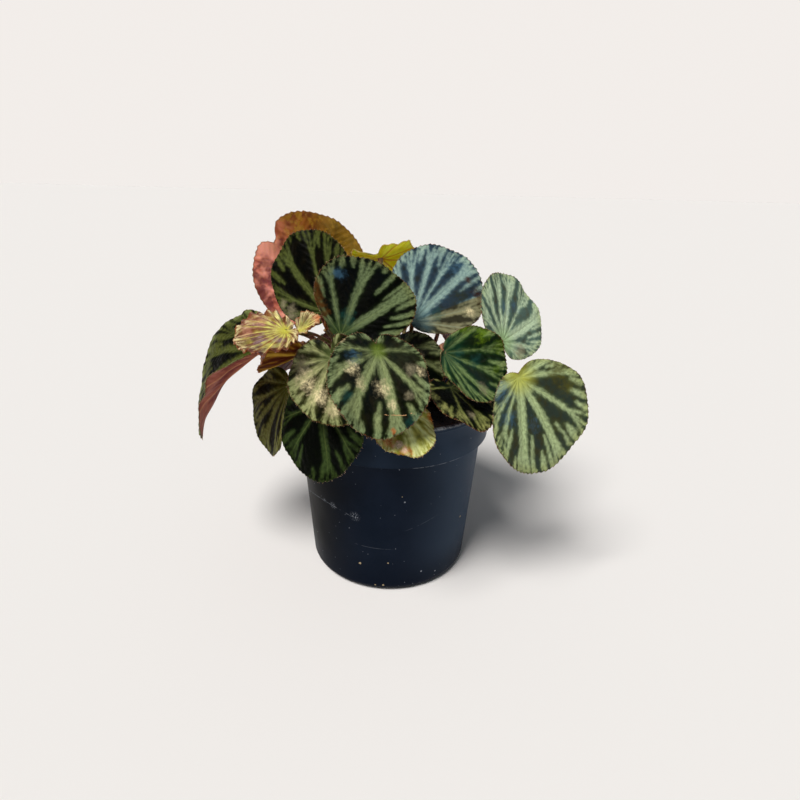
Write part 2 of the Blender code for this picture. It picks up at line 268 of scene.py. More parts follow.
blade = {  # lengths in mm, turns in degrees
    "columns": 180, "rings": 26, "thickness": 0.6, "rimThickness": 0.35,
    "notchDepth": 0.62, "notchWidth": 9, "tipLength": 0.05, "tipWidth": 20, "keelRound": 3.0, "waveTurn": 9.0,
    "teeth": 60, "toothDepth": 0.012, "toothFactor": (0.5, 1.2), "ripple": 0.6, "rippleTurns": (0.23, 0.27),
    "groove": 0.28, "grooveWidth": 0.7, "rib": 0.40, "ribWidth": 0.8, "quilt": 0.5, "quiltWidth": 2.6,
    "sideSpacing": 4.2, "sideLean": 0.8, "usualRadius": 26,
}

lookUsual = {  # what a banded leaf looks like; each leaf below may change some of it
    "pale": (104, 120, 76), "paleTip": (118, 126, 76), "mid": (46, 58, 30), "dark": (14, 17, 8),
    "darkWarm": (22, 20, 8), "heart": (60, 78, 34), "heartSize": 0.28, "margin": (104, 68, 46),
    "vein": (116, 128, 72), "veinShow": 0.25, "roughness": 0.44, "gloss": 0.07,
    "under": (118, 66, 56), "underDark": (86, 44, 38), "underVein": (150, 100, 78),
    "bands": (), "fingers": 1.0, "patches": (), "scar": None, "lobe": None, "glow": False, "through": 0.0,
}
toneKeys = [key for key, value in lookUsual.items() if isinstance(value, tuple) and value]

# Some kinds are painted light: glint is a painted warm highlight of the sun, the beige kind is the leaf's own
# grey beige with a painted dull sheen, sky is a painted reflection of the blue sky, and shade is painted
# shade.
patchLooks = {  # colour, how strong, how much it breaks up into grains and into streaks along the veins
    "glint": ((232, 216, 168), 0.9, 0.7, 0.4), "beigeAndSheen": ((138, 130, 104), 0.8, 0.3, 0.3),
    "sky": ((64, 96, 118), 0.55, 0.0, 0.7), "teal": ((30, 72, 66), 0.55, 0.0, 0.4),
    "lime": ((104, 134, 22), 0.7, 0.3, 0.6), "scorch": ((196, 104, 48), 0.95, 0.4, 0.0),
    "char": ((250, 222, 194), 0.95, 0.5, 0.0), "dry": ((60, 36, 22), 0.9, 0.3, 0.2),
    "olive": ((80, 78, 30), 0.8, 0.2, 0.4), "mauve": ((150, 118, 128), 0.8, 0.0, 0.7),
    "pink": ((186, 128, 104), 0.85, 0.2, 0.6), "dryPink": ((150, 84, 58), 0.7, 0.4, 0.3),
    "shade": ((36, 42, 26), 0.75, 0.0, 0.5), "straw": ((160, 162, 98), 0.85, 0.3, 0.6),
    "rust": ((80, 50, 18), 0.95, 0.0, 0.0),
}

leaves = {}


# Lengths in mm and angles in degrees; droop and arch bend the blade by that many degrees in 10 mm.
# dent: where on the rim, how deep, how wide. crease: its direction and lift. crimp: depth and how many folds.
def leafForm(name, at, heading, slope, roll, radius, reach, skew, droop, arch, fold, wave=0.9, waves=6,
             root=0.0, side=1, bow=(0, 0, 0), arrive=None, stalk=1.5, dent=(0, 0, 1), crease=(0, 0),
             crimp=(0, 1), slotName="leaf_banded", veins=7, swirl=0.1, **look):
    look = {**lookUsual, **look}
    look.update({key: tone(*look[key]) for key in toneKeys})
    turn = Euler((math.radians(-roll), math.radians(-slope), math.radians(heading)))
    outward = turn.to_matrix() @ Vector((0, 0, 1))
    leaves[name] = {
        "at": Vector(at), "turn": turn, "radius": radius, "reach": reach, "skew": skew,
        "droop": math.radians(droop) / 10 or 1e-6, "arch": math.radians(arch) / 10 or 1e-6, "fold": fold,
        "wave": wave, "waves": waves, "root": root, "side": side, "bow": Vector(bow), "outward": outward,
        "arrive": Vector(arrive or outward + Vector((0, 0, 0.7))).normalized(), "stalk": stalk,
        "dent": (math.radians(dent[0]), dent[1], math.radians(dent[2])),
        "crease": (math.radians(crease[0]), crease[1]),
        "crimp": crimp, "slot": slotName, "veins": veins, "swirl": swirl, "seed": len(leaves) + 1,
        "look": look,
    }


oldLook = {
    "slotName": "leaf_old", "veins": 5, "pale": (228, 170, 84), "paleTip": (200, 140, 100),
    "mid": (146, 92, 16), "dark": (74, 26, 4), "darkWarm": (108, 46, 10), "heart": (150, 124, 20),
    "margin": (116, 62, 34), "vein": (150, 100, 50), "under": (122, 72, 28),
    "underDark": (74, 32, 14), "underVein": (150, 92, 50), "gloss": 0.4,
}
youngLook = {
    "slotName": "leaf_young", "veins": 9, "pale": (232, 232, 116), "paleTip": (248, 236, 176),
    "mid": (146, 96, 42), "dark": (70, 28, 8), "darkWarm": (116, 56, 30), "heart": (186, 176, 36),
    "margin": (150, 74, 24), "vein": (196, 200, 80), "veinShow": 0.3, "under": (140, 86, 52),
    "underDark": (96, 52, 34), "underVein": (180, 130, 70), "gloss": 0.4, "fingers": 0.8, "heartSize": 0.2,
}

# bands: degrees round from the tip, and how wide. patches: mm along and across from the stalk, size and kind.
# scar: mm along, and from where to where across. lobe: the two tones beyond the crease.
leafForm("folded", (-70, -20, 139), 185, -30, 5, 41, 0.8, -0.25, 6, 0, 0.45, root=-1, dent=(60, 0.3, 45),
         crease=(45, -0.1), bow=(0, 8, 4), arrive=(-0.5, -0.8, 0.3), pale=(80, 84, 42), mid=(24, 28, 8),
         dark=(5, 6, 2), heart=(58, 66, 16), heartSize=0.4, gloss=0.03, under=(176, 106, 88),
         underDark=(134, 70, 66), underVein=(206, 142, 104),
         bands=((-125, 0.6), (-98, 0.5), (-70, 1.0), (-38, 0.8), (-10, 0.8), (40, 0.9), (80, 0.9),
                (130, 0.9)))
leafForm("low_left", (-59, -13, 116), 205, -65, 5, 26, 0.75, -0.25, 4.5, 0, 0.2, root=-0.85,
         pale=(118, 118, 66), paleTip=(110, 112, 60), mid=(50, 48, 8), dark=(20, 17, 2),
         darkWarm=(28, 23, 3), heart=(66, 66, 6), heartSize=0.5, margin=(70, 60, 34), gloss=0.02,
         bands=((-45, 1.0), (-15, 1.5), (25, 0.9), (60, 0.9), (105, 1.0), (-78, 0.8), (-115, 0.7),
                (-150, 0.7)))
leafForm("old_curled", (-44, -42, 145), 195, -25, -10, 14, 0.75, 0, -1.5, 0, 0.8, root=-0.7,
         crimp=(0.35, 17),
         patches=((18, 3, 4.0, "pink"), (8, -4, 3.0, "olive"), (11, 5, 2.2, "char")),
         **{**oldLook, "under": (150, 104, 30), "underVein": (196, 156, 60)})
leafForm("new_leaf", (-46, -44, 156), 10, 35, -30, 6.5, 0.85, 0, 4, 0, 0.7, wave=0.5, waves=5, root=-0.5,
         bow=(10, 17, 12), stalk=1, crimp=(0.6, 13),
         patches=((12, 0, 4.0, "scorch"), (5, 3, 4.0, "olive")), **youngLook)
leafForm("young", (-52, -48, 157), 205, -5, 25, 15, 0.6, 0, 4.5, 0, 0.15, wave=1, waves=9, root=-0.6,
         bow=(4, 14, 16), arrive=(-0.4, -0.4, 0.8), crimp=(1.2, 19), swirl=0.9,
         bands=((-160, 0.7), (-130, 0.6), (-104, 0.4), (-78, 0.5), (-50, 0.6), (-24, 0.5), (-2, 0.4),
                (22, 0.5), (50, 0.5), (78, 0.6), (104, 0.6), (132, 0.7), (160, 0.7)),
         patches=((9, -9, 5.0, "pink"), (18, -4, 4.0, "pink"), (13, 3, 4.5, "mauve"), (5, 7, 4.0, "mauve"),
                  (14, -12, 4.0, "dryPink")), **youngLook)
leafForm("low_front", (-36, -46, 118), 280, -65, -40, 26.5, 0.45, -0.05, 0, 2.5, 0.05, root=-0.35,
         pale=(56, 70, 38), paleTip=(46, 58, 28), mid=(12, 21, 4), dark=(5, 9, 2), darkWarm=(10, 14, 3),
         heart=(20, 36, 8), fingers=0.8, margin=(50, 54, 34), gloss=0.04,
         bands=((-60, 0.9), (8, 1.5), (-105, 0.6), (54, 0.6), (95, 0.6), (-145, 0.6), (135, 0.6)))
leafForm("middle_left", (-29, -53, 145), 295, -65, -40, 22, 0.45, -0.05, 1, -0.5, 0.2, root=-0.2,
         pale=(164, 166, 116), paleTip=(150, 158, 106), mid=(72, 76, 40), dark=(14, 18, 3),
         darkWarm=(32, 30, 12), heart=(76, 88, 48), gloss=0.05, fingers=0.8,
         bands=((-88, 1.2), (-50, 1.4), (-118, 0.6), (-14, 1.0), (20, 0.8), (60, 0.9), (110, 0.8),
                (-148, 0.6)),
         patches=((1, -16, 6.0, "beigeAndSheen"), (9, -14, 6.0, "glint"), (17, -9, 5.5, "glint"),
                  (25, -4, 4.0, "glint")))
leafForm("crown", (-26, -40, 153), 45, 40, -40, 26.5, 0.9, 0.05, 4.5, -0.5, 0.25, root=-0.05,
         dent=(155, 0.35, 20), pale=(104, 118, 82), paleTip=(112, 122, 80), mid=(22, 32, 12),
         dark=(6, 8, 3), darkWarm=(11, 12, 5), heart=(36, 58, 26), heartSize=0.3, gloss=0.02, fingers=0.9,
         bands=((-40, 1.8), (29, 1.2), (86, 0.8), (-145, 0.8), (130, 0.7)),
         patches=((26, 20, 4.5, "sky"), (10, 3, 5.0, "teal"), (13, 25, 3.6, "rust"), (9, 21, 3.4, "rust"),
                  (6, 17, 3.2, "rust"), (4, 12.5, 3.0, "rust")))
leafForm("front", (-7, -63, 152), 285, -50, 10, 25, 0.6, -0.05, 4, 1, 0.15, root=0.1, bow=(-11, 0, -5),
         pale=(140, 152, 104), paleTip=(130, 146, 102), mid=(38, 48, 20), dark=(10, 15, 4),
         darkWarm=(26, 24, 9), heart=(96, 116, 38), heartSize=0.15, gloss=0.04, scar=(30.5, -1, 15),
         fingers=0.8,
         bands=((-46, 1.6), (18, 1.8), (66, 0.8), (-98, 1.0), (-132, 0.6), (128, 0.5)),
         patches=((2, 12, 9.0, "shade"), (2, -7, 5.0, "shade"), (10, 15, 4.0, "beigeAndSheen"),
                  (4, -13, 4.5, "sky"), (34, 14, 5.0, "teal"), (22, -18, 4.0, "teal"),
                  (38, 4, 1.8, "scorch"), (9, -14, 4.5, "glint"), (16, -11, 3.5, "glint"),
                  (18, 0, 4.8, "glint"), (-5, -19, 3.5, "glint"), (11, 20, 3.0, "glint"),
                  (26, 4, 3.0, "glint"), (22, 13, 3.0, "beigeAndSheen")))
# Its tones are brightened, the heart most, as painted light against the shadow that the front leaf casts on
# its upper half; the scorch and char patches are its own burns.
leafForm("burnt", (3, -57, 122), 290, -35, 10, 18.5, 0.5, 0, 0, 4, -0.05, root=0.3, margin=(132, 74, 34),
         pale=(236, 244, 166), paleTip=(232, 236, 168), mid=(226, 228, 120), dark=(112, 116, 36),
         darkWarm=(168, 160, 62), heart=(226, 236, 100), crimp=(0.3, 21),
         bands=((10, 1.6), (50, 1.1), (-40, 1.0), (90, 0.8), (-85, 0.8), (130, 0.8), (-130, 0.8)),
         patches=((19, -10, 4.6, "scorch"), (25, -3, 3.6, "scorch"), (22, -6, 2.6, "char"),
                  (25, -4, 2.0, "char"), (6, 19, 4.0, "scorch")))
leafForm("middle_dark", (3, -24, 140), 350, -25, -55, 17.5, 0.6, -0.05, 4.5, 2.5, 0, root=0.45,
         pale=(112, 120, 80), paleTip=(124, 130, 90), mid=(50, 56, 30), dark=(9, 14, 2), gloss=0.03,
         bands=((-100, 1.1), (-35, 1.1), (20, 1.0), (70, 0.8), (120, 0.8), (-145, 0.8)),
         patches=((11, 3, 4.0, "beigeAndSheen"),))
leafForm("low_right", (31, -36, 125), 300, -15, 5, 20, 0.6, 0, 4, 1, 0.15, root=0.6, pale=(140, 146, 84),
         paleTip=(148, 150, 88), mid=(28, 36, 10), dark=(5, 9, 1), darkWarm=(12, 14, 3), heart=(14, 28, 6),
         bands=((-30, 0.5), (10, 0.5), (65, 0.8), (100, 0.9), (-120, 0.6), (140, 0.8)),
         patches=((9, -18, 4.5, "straw"), (17, -16, 4.5, "straw"), (24, -9, 4.5, "straw"),
                  (23, -2, 3.0, "beigeAndSheen")))
leafForm("middle_right", (26, -42, 146), 15, -35, -55, 20, 0.85, 0.05, -3.5, -1.5, 0.45, root=0.75,
         bow=(18, 4, 0), pale=(124, 146, 90), paleTip=(134, 150, 90), mid=(36, 68, 28), dark=(12, 30, 12),
         darkWarm=(22, 34, 12), heart=(20, 60, 40), heartSize=0.5,
         bands=((-38, 1.7), (-95, 1.0), (14, 0.6), (60, 0.5), (120, 1.2), (-68, 0.7), (-135, 0.8)),
         fingers=0.8,
         patches=((18, 5, 4.5, "teal"), (8, 4, 4.0, "teal"), (26, -8, 4.5, "beigeAndSheen"), (14, 17, 5.5, "lime"),
                  (4, 15, 4.0, "lime"), (25, 17, 4.0, "lime"), (31, 6, 3.0, "lime")))
leafForm("hanging_right", (63, -50, 136), 340, -60, -45, 29.5, 0.8, 0.05, 3.5, 0.5, 0.2, root=0.95,
         bow=(14, 0, 0), pale=(178, 196, 144), paleTip=(168, 180, 120), dark=(46, 56, 48),
         darkWarm=(54, 54, 30), heart=(182, 184, 76), mid=(78, 92, 60), heartSize=0.26, gloss=0.08,
         fingers=0.9,
         bands=((-46, 1.8), (12, 1.2), (-90, 0.6), (-118, 0.5), (-148, 0.9), (57, 0.6), (120, 0.7),
                (150, 0.9)),
         patches=((2, -13, 8.0, "sky"), (14, -16, 6.0, "sky"), (26, -2, 5.0, "sky"), (6, 21, 8.0, "olive"),
                  (16, 22, 6.0, "olive")))
leafForm("side_left", (-52, 24, 130), 160, -40, 0, 23, 0.65, 0, 4, 2, 0.1, root=-1, side=-1)
leafForm("back_left", (-28, 52, 129), 110, -40, 0, 25, 0.65, 0, 4, 1.5, 0.15, root=-0.8, side=-1)
leafForm("tall_back", (-47, 32, 158), 130, 60, -145, 35.5, 0.5, 0, 1.5, 0, 0.1, root=-0.65, side=-1,
         dent=(-30, 0.15, 8), slotName="leaf_red", under=(214, 124, 108), underDark=(140, 66, 62),
         underVein=(206, 130, 110), glow=True, through=0.3)
leafForm("high_left", (-37, -9, 158), 150, 55, 80, 26, 0.8, 0, 3.5, 1.5, 0, root=-0.45, side=-1,
         pale=(82, 90, 48), paleTip=(74, 80, 38), mid=(24, 27, 7), dark=(7, 8, 2), darkWarm=(18, 15, 4),
         heart=(54, 62, 24), margin=(70, 62, 44), gloss=0.04, fingers=0.85,
         bands=((22, 1.5), (-28, 0.7), (78, 0.9), (-62, 0.6), (112, 0.6), (-95, 0.4), (-135, 0.6),
                (150, 0.6)),
         patches=((10, 20, 6.0, "beigeAndSheen"), (17, 23, 4.0, "beigeAndSheen")))
leafForm("dry_bud", (-34, -31, 154), 195, 65, 0, 4, 0.9, 0, 0, 0, 0.8, wave=0.3, waves=4, root=-0.3,
         bow=(2, 8, 0), arrive=(-0.5, -0.1, 1), stalk=1, crimp=(0.3, 9),
         **{**oldLook, "pale": (176, 124, 88), "mid": (132, 84, 54), "heart": (160, 112, 76)})
leafForm("low_back", (6, 54, 126), 85, -50, 5, 24, 0.6, 0, 3, 2, 0.1, root=-0.1, side=-1)
# Its under side tones are brightened as painted light, standing in for the sun shining through the blade.
leafForm("pale_back", (-8, 15, 185), 65, -25, 15, 21.5, 0.55, 0, 3, 0, 0.45, root=0.05, side=-1,
         dent=(-95, 0.2, 30), slotName="leaf_pale", pale=(172, 176, 60), paleTip=(186, 184, 104),
         mid=(146, 146, 34), dark=(112, 106, 22), darkWarm=(136, 100, 34), heart=(156, 166, 36),
         under=(236, 250, 96), underDark=(206, 208, 56), underVein=(190, 140, 50), vein=(150, 100, 34),
         margin=(196, 160, 90), veinShow=0.6, crimp=(0.4, 19), through=0.8)
leafForm("high_back", (10, 44, 156), 80, -10, 0, 26, 0.65, 0, 4, 2, 0.15, root=0.2, side=-1)
# Its bluish tones are the leaf's own banding with a painted blue sky reflection mixed in.
leafForm("high_right", (11, -10, 154), 35, 40, -50, 28, 0.9, 0.05, 3.5, 1, 0, root=0.35, side=-1,
         crease=(-25, 0.25), pale=(142, 168, 158), paleTip=(154, 178, 158), mid=(68, 94, 106),
         dark=(34, 50, 62), darkWarm=(30, 38, 38), heart=(92, 128, 134), heartSize=0.34,
         vein=(140, 165, 150),
         bands=((-12, 1.5), (45, 0.8), (-72, 1.1), (78, 0.8), (18, 0.5), (110, 0.8), (-110, 0.9)),
         fingers=0.9, lobe=((128, 126, 94), (46, 44, 28)),
         patches=((40, -17, 5.0, "dry"), (36, -24, 4.0, "dry"), (42, -8, 3.0, "dry"),
                  (30, -11, 8.0, "shade"), (26, -21, 4.0, "glint"), (44, 2, 6.0, "sky"),
                  (12, -8, 5.0, "teal")))
leafForm("back_right", (42, 44, 136), 45, -40, 0, 26, 0.65, 0, 4, 1.5, 0.15, root=0.55, side=-1)
leafForm("inner_right", (28, 18, 146), 70, 5, 0, 22, 0.6, 0, 4, 2, 0.15, root=0.45, side=-1)
leafForm("old_small", (29, -18, 136), 60, 50, -40, 5.5, 0.6, 0, 4, 2, 0.1, wave=0.5, waves=5, root=0.65,
         side=-1, stalk=1, crimp=(0.3, 11), **{**oldLook, "pale": (196, 132, 40), "heart": (196, 140, 50)})
leafForm("right_back", (64, 0, 141), 65, 45, -55, 27, 0.7, -0.05, 3, 0.5, 0.1, root=0.8, side=-1,
         pale=(194, 214, 176), paleTip=(190, 206, 156), mid=(106, 132, 110), dark=(72, 90, 80),
         darkWarm=(72, 76, 58), heart=(150, 184, 126), fingers=1.2,
         bands=((-60, 2.0), (18, 1.2), (48, 0.9), (82, 0.8), (-20, 0.5), (-112, 0.8), (-142, 1.0),
                (118, 1.0), (150, 1.0)),
         patches=((1, -14, 5.0, "beigeAndSheen"), (20, 5, 5.0, "sky"), (26, -3, 5.0, "sky")))
leafForm("side_right", (58, 22, 118), 15, -50, 0, 24, 0.6, 0, 3, 2, 0.1, root=0.95, side=-1)


def bell(gap, width):  # 1 in the middle, and 0 well away from it
    return np.exp(-((gap / width) ** 2))


def bladeEdge(leaf, turn):  # the flat outline, in mm from the stalk
    notch = 1 - blade["notchDepth"] * bell(math.pi - np.abs(turn), math.radians(blade["notchWidth"]))
    place, depth, width = leaf["dent"]
    size = leaf["radius"] * notch * (1 - depth * bell(turn - place, width))
    tip = 1 + blade["tipLength"] * bell(turn, math.radians(blade["tipWidth"]))
    return (leaf["reach"] + np.cos(turn) * tip) * size, (leaf["skew"] + np.sin(turn)) * size


def beyondCrease(leaf, along, across):  # in mm, 0 before the crease
    line = leaf["crease"][0]
    return np.maximum(0, along * math.sin(line) - across * math.cos(line))


def bend(leaf, along, across):  # the flat blade drooped, arched and folded, as the CAD leaves in model.glb are
    droop, arch, keel = leaf["droop"], leaf["arch"], blade["keelRound"]
    beyond, lift = beyondCrease(leaf, along, across), leaf["crease"][1]
    rise = leaf["fold"] * (np.hypot(across, keel) - keel) + lift * (np.hypot(beyond, keel) - keel)
    rise = rise - (1 - np.cos(droop * along)) / droop - (1 - np.cos(arch * across)) / arch
    return np.stack([np.sin(droop * along) / droop, np.sin(arch * across) / arch, rise], axis=-1)


bandForm = {  # turns in degrees, widths in mm on a leaf of the usual radius, shares of the way to the rim
    "turns": 286, "stray": 6, "factor": (0.8, 1.5), "width": 1.5, "fork": (0.55, 0.72), "forkTurn": (6, 12),
    "stem": (0.5, 0.8, 1.0, 0.95, 0.6, 0.55), "arm": ((0, 0.8), (0.35, 0.7), (0.7, 0.6), (1, 0.6)),
    "pastRim": 1.02, "fingers": 3.5, "deepFinger": (0.6, 0.75), "shortFinger": (0.75, 0.92),
    "fingerWidth": (0.8, 1.6),
}


def mainBands(leaf, chance):  # the pale bands' angles in radians, each with a width factor
    if leaf["look"]["bands"]:
        return [(math.radians(turn), wide) for turn, wide in leaf["look"]["bands"]]
    count, stray = leaf["veins"], bandForm["stray"]
    step = bandForm["turns"] / (count - 1)
    turns = [(index - (count - 1) / 2) * step + chance.uniform(-stray, stray) for index in range(count)]
    return [(math.radians(turn), chance.uniform(*bandForm["factor"])) for turn in turns]


def palePaths(leaf, bands, chance):  # each band runs out and forks, and short fingers come in from the rim
    size, rim, fingers = leaf["radius"] / blade["usualRadius"], bandForm["pastRim"], leaf["look"]["fingers"]
    paths = []
    for turn, factor in bands:
        fork = chance.uniform(*bandForm["fork"])
        wide = bandForm["width"] * factor * size
        shares = (0, 0.15, 0.4, fork, (1 + fork) / 2, rim)
        paths.append([(turn, share, wide * own) for share, own in zip(shares, bandForm["stem"])])
        for lean in (-1, 1):
            spread = math.radians(chance.uniform(*bandForm["forkTurn"])) * lean
            paths.append([(turn + spread * part**0.8, fork + (rim - fork) * part, wide * own)
                          for part, own in bandForm["arm"]])
    turns = sorted(turn for turn, factor in bands)
    for first, last in zip(turns, turns[1:] + [turns[0] + fullTurn]):
        count = round((last - first) * bandForm["fingers"] * size * fingers)
        for index in range(1, count):
            turn = first + (last - first) * (index + chance.uniform(-0.25, 0.25)) / count
            turn = (turn + math.pi) % fullTurn - math.pi
            start = chance.choice([chance.uniform(*bandForm[kind]) for kind in ("deepFinger", "shortFinger")])
            wide = chance.uniform(*bandForm["fingerWidth"]) * size / fingers
            lean = math.radians(chance.uniform(-3, 3))
            middle = (turn, (start + 1) / 2, wide * 0.9)
            paths.append([(turn + lean, start, wide * 0.4), middle, (turn, rim, wide)])
    return paths


def bandField(leaf, places, paths):  # how far each place is inside a pale band, in mm
    best = np.full(len(places), -20.0)
    for path in paths:
        along, across = bladeEdge(leaf, np.array([turn for turn, share, wide in path]))
        shares = np.array([share for turn, share, wide in path])
        knots = np.stack([along * shares, across * shares], axis=-1)
        for index in range(len(path) - 1):
            first, run = knots[index], knots[index + 1] - knots[index]
            part = np.clip(((places - first) @ run) / max(run @ run, 1e-6), 0, 1)
            gap = np.linalg.norm(places - first - part[:, None] * run, axis=1)
            wide = path[index][2] + (path[index + 1][2] - path[index][2]) * part
            best = np.maximum(best, wide - gap)
    return best


def bladeGrid(leaf):  # flat places of the blade's points, out to the toothed rim
    chance = random.Random(leaf["seed"] * 7919)
    columns, rings = blade["columns"], blade["rings"]
    turn = (np.arange(columns) / columns * 2 - 1) * math.pi
    share = (np.arange(1, rings + 1) / rings) ** 0.85
    turns, shares = np.meshgrid(turn, share)
    along, across = bladeEdge(leaf, turns)
    depth = np.array([chance.uniform(*blade["toothFactor"]) for _ in range(blade["teeth"])])
    phase = (turns + math.pi) / fullTurn * blade["teeth"]
    deep = blade["toothDepth"] * depth[phase.astype(int) % blade["teeth"]]
    tooth = 1 + deep * (1 - 2 * (phase % 1)) * shares**8
    along, across = along * shares * tooth, across * shares * tooth
    return chance, turns, shares, along, across


def growBlade(name, leaf):
    chance, turns, shares, along, across = bladeGrid(leaf)
    rings, columns = along.shape
    radius, seed, size = leaf["radius"], leaf["seed"], leaf["radius"] / blade["usualRadius"]
    reachOut, angle = np.hypot(along, across), np.arctan2(across, along)
    swirl = angle + leaf["swirl"] * np.sin(angle) * (reachOut / radius / 1.7) ** 2
    flat = np.stack([reachOut * np.cos(swirl), reachOut * np.sin(swirl)], axis=-1).reshape(-1, 2)

    # Pale bands, and how far each point lies from the nearest main vein
    bands = mainBands(leaf, chance)
    field = bandField(leaf, flat, palePaths(leaf, bands, chance)).reshape(rings, columns)
    ways = [math.atan2(*(float(v) for v in bladeEdge(leaf, np.array(turn))[::-1])) for turn, wide in bands]
    aside = np.min([np.abs((swirl - way + math.pi) % fullTurn - math.pi) for way in ways], axis=0)
    veinGap = reachOut * np.sin(np.minimum(aside, math.pi / 2))
    veinRun = reachOut * np.cos(aside)

    # Waves, crimps, ripples and puckers on the bent blade
    local = bend(leaf, along, across)
    deep, folds = leaf["crimp"]
    first, second = (rate * place + chance.uniform(0, 6)
                     for rate, place in zip(blade["rippleTurns"], (along, across)))
    height = leaf["wave"] * shares**3 * np.sin(turns * leaf["waves"] + leaf["root"] * blade["waveTurn"])
    height += deep * shares**2 * np.sin(turns * folds + np.sin(turns * 3 + seed) * 1.5)
    height += blade["ripple"] * size * shares * np.sin(first) * np.sin(second)
    quilt = blade["quilt"] * size * (1 - bell(veinGap, blade["quiltWidth"]))
    height += quilt * np.sin(np.minimum(shares, 1) * 2.6)
    local[..., 2] += height - blade["groove"] * bell(veinGap, blade["grooveWidth"]) * (1 - shares * 0.6)

    # Thickness, and ribs under the veins
    inner = np.concatenate([np.zeros((1, columns, 3)), local[:-1]])
    outward = np.concatenate([local[1:], 2 * local[-1:] - local[-2:-1]]) - inner
    normal = np.cross(outward, np.roll(local, -1, axis=1) - np.roll(local, 1, axis=1))
    normal /= np.maximum(np.linalg.norm(normal, axis=-1, keepdims=True), 1e-9)
    thick = blade["thickness"] + (blade["rimThickness"] - blade["thickness"]) * shares
    rib = blade["rib"] * bell(veinGap, blade["ribWidth"]) * (1 - shares * 0.75)
    top = local + normal * (thick / 2)[..., None]
    low = local - normal * (thick / 2 + rib)[..., None]

    # One closed mesh: top, rim and under side
    points = np.concatenate([[[0, 0, blade["thickness"] / 2]], top.reshape(-1, 3),
                             [[0, 0, -blade["thickness"] / 2 - blade["rib"]]], low.reshape(-1, 3)])
    count = rings * columns
    under = count + 1  # where the under side's points start
    starts = [1 + ring * columns for ring in range(rings)]
    faces = cap(0, 1, columns)
    for one, other in [*zip(starts, starts[1:]), (starts[-1], starts[-1] + under)]:
        faces += bridge(one, other, columns)
    slots = [0] * len(faces)
    faces += [face[::-1] for face in cap(under, under + 1, columns)]
    for one, other in zip(starts, starts[1:]):
        faces += bridge(other + under, one + under, columns)
    slots += [1] * (len(faces) - len(slots))

    def both(values, centre):  # the same value on the two sides of the blade
        one = np.concatenate([[centre], np.asarray(values).reshape(count, *np.shape(centre))])
        return np.concatenate([one, one])

    rimGap = (1 - shares) * np.hypot(*[part.reshape(1, -1) for part in bladeEdge(leaf, turns[0])])
    flatZ = 0 * along
    values = {
        "mark": both(field, 1.0), "veinGap": both(veinGap, 0.0), "rimGap": both(rimGap, radius),
        "sideRun": both((veinRun - veinGap * blade["sideLean"]) / blade["sideSpacing"], 0.0),
        "heartGap": both(reachOut / radius, 0.0), "beyond": both(beyondCrease(leaf, along, across), 0.0),
        "bladePlace": both(np.stack([along, across, flatZ + seed * 31], -1), (0.0, 0.0, seed * 31.0)),
        "fanPlace": both(np.stack([swirl * 9, reachOut * 0.16, flatZ + seed * 17], -1), (0.0, 0.0, 0.0)),
    }
    world = np.array(Matrix.Translation(leaf["at"]) @ leaf["turn"].to_matrix().to_4x4())
    spin, shift = world[:3, :3].T, world[:3, 3]
    points = (points @ spin + shift) * mm
    materials = [upperSkin(name, leaf), underSkin(name, leaf)]
    piece = meshPiece("blade_" + name, points, faces, materials, slots, values, sharpAngle=70)
    fit(piece, leaf["slot"], "leaf_" + name)
    return local[-1] @ spin + shift, outward[-1] @ spin, normal[-1] @ spin


markForm = {  # noise per mm, its detail and roughness, and how far it moves the edge of a band in mm
    "streak": (0.8, 3, 0.5, 2.6), "speckle": (0.5, 4, 0.6, 1.4), "fray": (2.4, 2, 0.55, 7.0),
    "sideVeins": 0.15,
}


def stray(place, kind):  # how far the edge of a band strays, in mm
    *form, far = markForm[kind]
    return centred(noise(place, *form), far)


def markings(tree):
    fan = reading(tree, "fanPlace", "Vector")
    place = reading(tree, "bladePlace", "Vector")
    sideWave = calc("COSINE", times(reading(tree, "sideRun"), fullTurn))
    reach = plus(reading(tree, "mark"), plus(stray(fan, "streak"), stray(place, "speckle")))
    reach = plus(reach, times(sideWave, markForm["sideVeins"]))
    return reach, sideWave, place, fan  # how far inside a band, the side veins, and two sets of places


# the glint, beige and sky patches paint highlights and reflections into the colour, and the shade patches
# paint shade
def withPatches(leaf, colour, place, fan):  # fan is a place that runs along the veins
    for along, across, size, kind in leaf["look"]["patches"]:
        patchColour, amount, grain, streak = patchLooks[kind]
        gap = distance(place, (along, across, leaf["seed"] * 31))
        gap = plus(gap, centred(noise(place, 0.35, 3, 0.6), size * 1.8))
        mask = ramp(gap, size * 1.15, size * 0.15, 0.0, amount)
        if grain:
            mask = times(mask, ramp(noise(place, 0.8, 4, 0.65), 0.38, 0.60, 1 - grain, 1.0))
        if streak:
            mask = times(mask, ramp(noise(fan, 1.6, 3), 0.40, 0.56, 1 - streak, 1.0))
        colour = blend(mask, colour, tone(*patchColour))
    return colour


def withScar(scar, colour, place):  # a broken tan scratch across the blade
    along, first, last = scar
    parts = split(place)
    wander = centred(noise(place, 0.25, 2), 2.0)
    mask = ramp(absolute(plus(minus(parts["X"], along), wander)), 0.28, 0.08)
    middle, half = (first + last) / 2, (last - first) / 2
    mask = times(mask, ramp(absolute(minus(parts["Y"], middle)), half, half - 1))
    mask = times(mask, ramp(noise(place, 0.7, 3), 0.47, 0.52))
    return blend(mask, colour, tone(206, 158, 112))  # tan


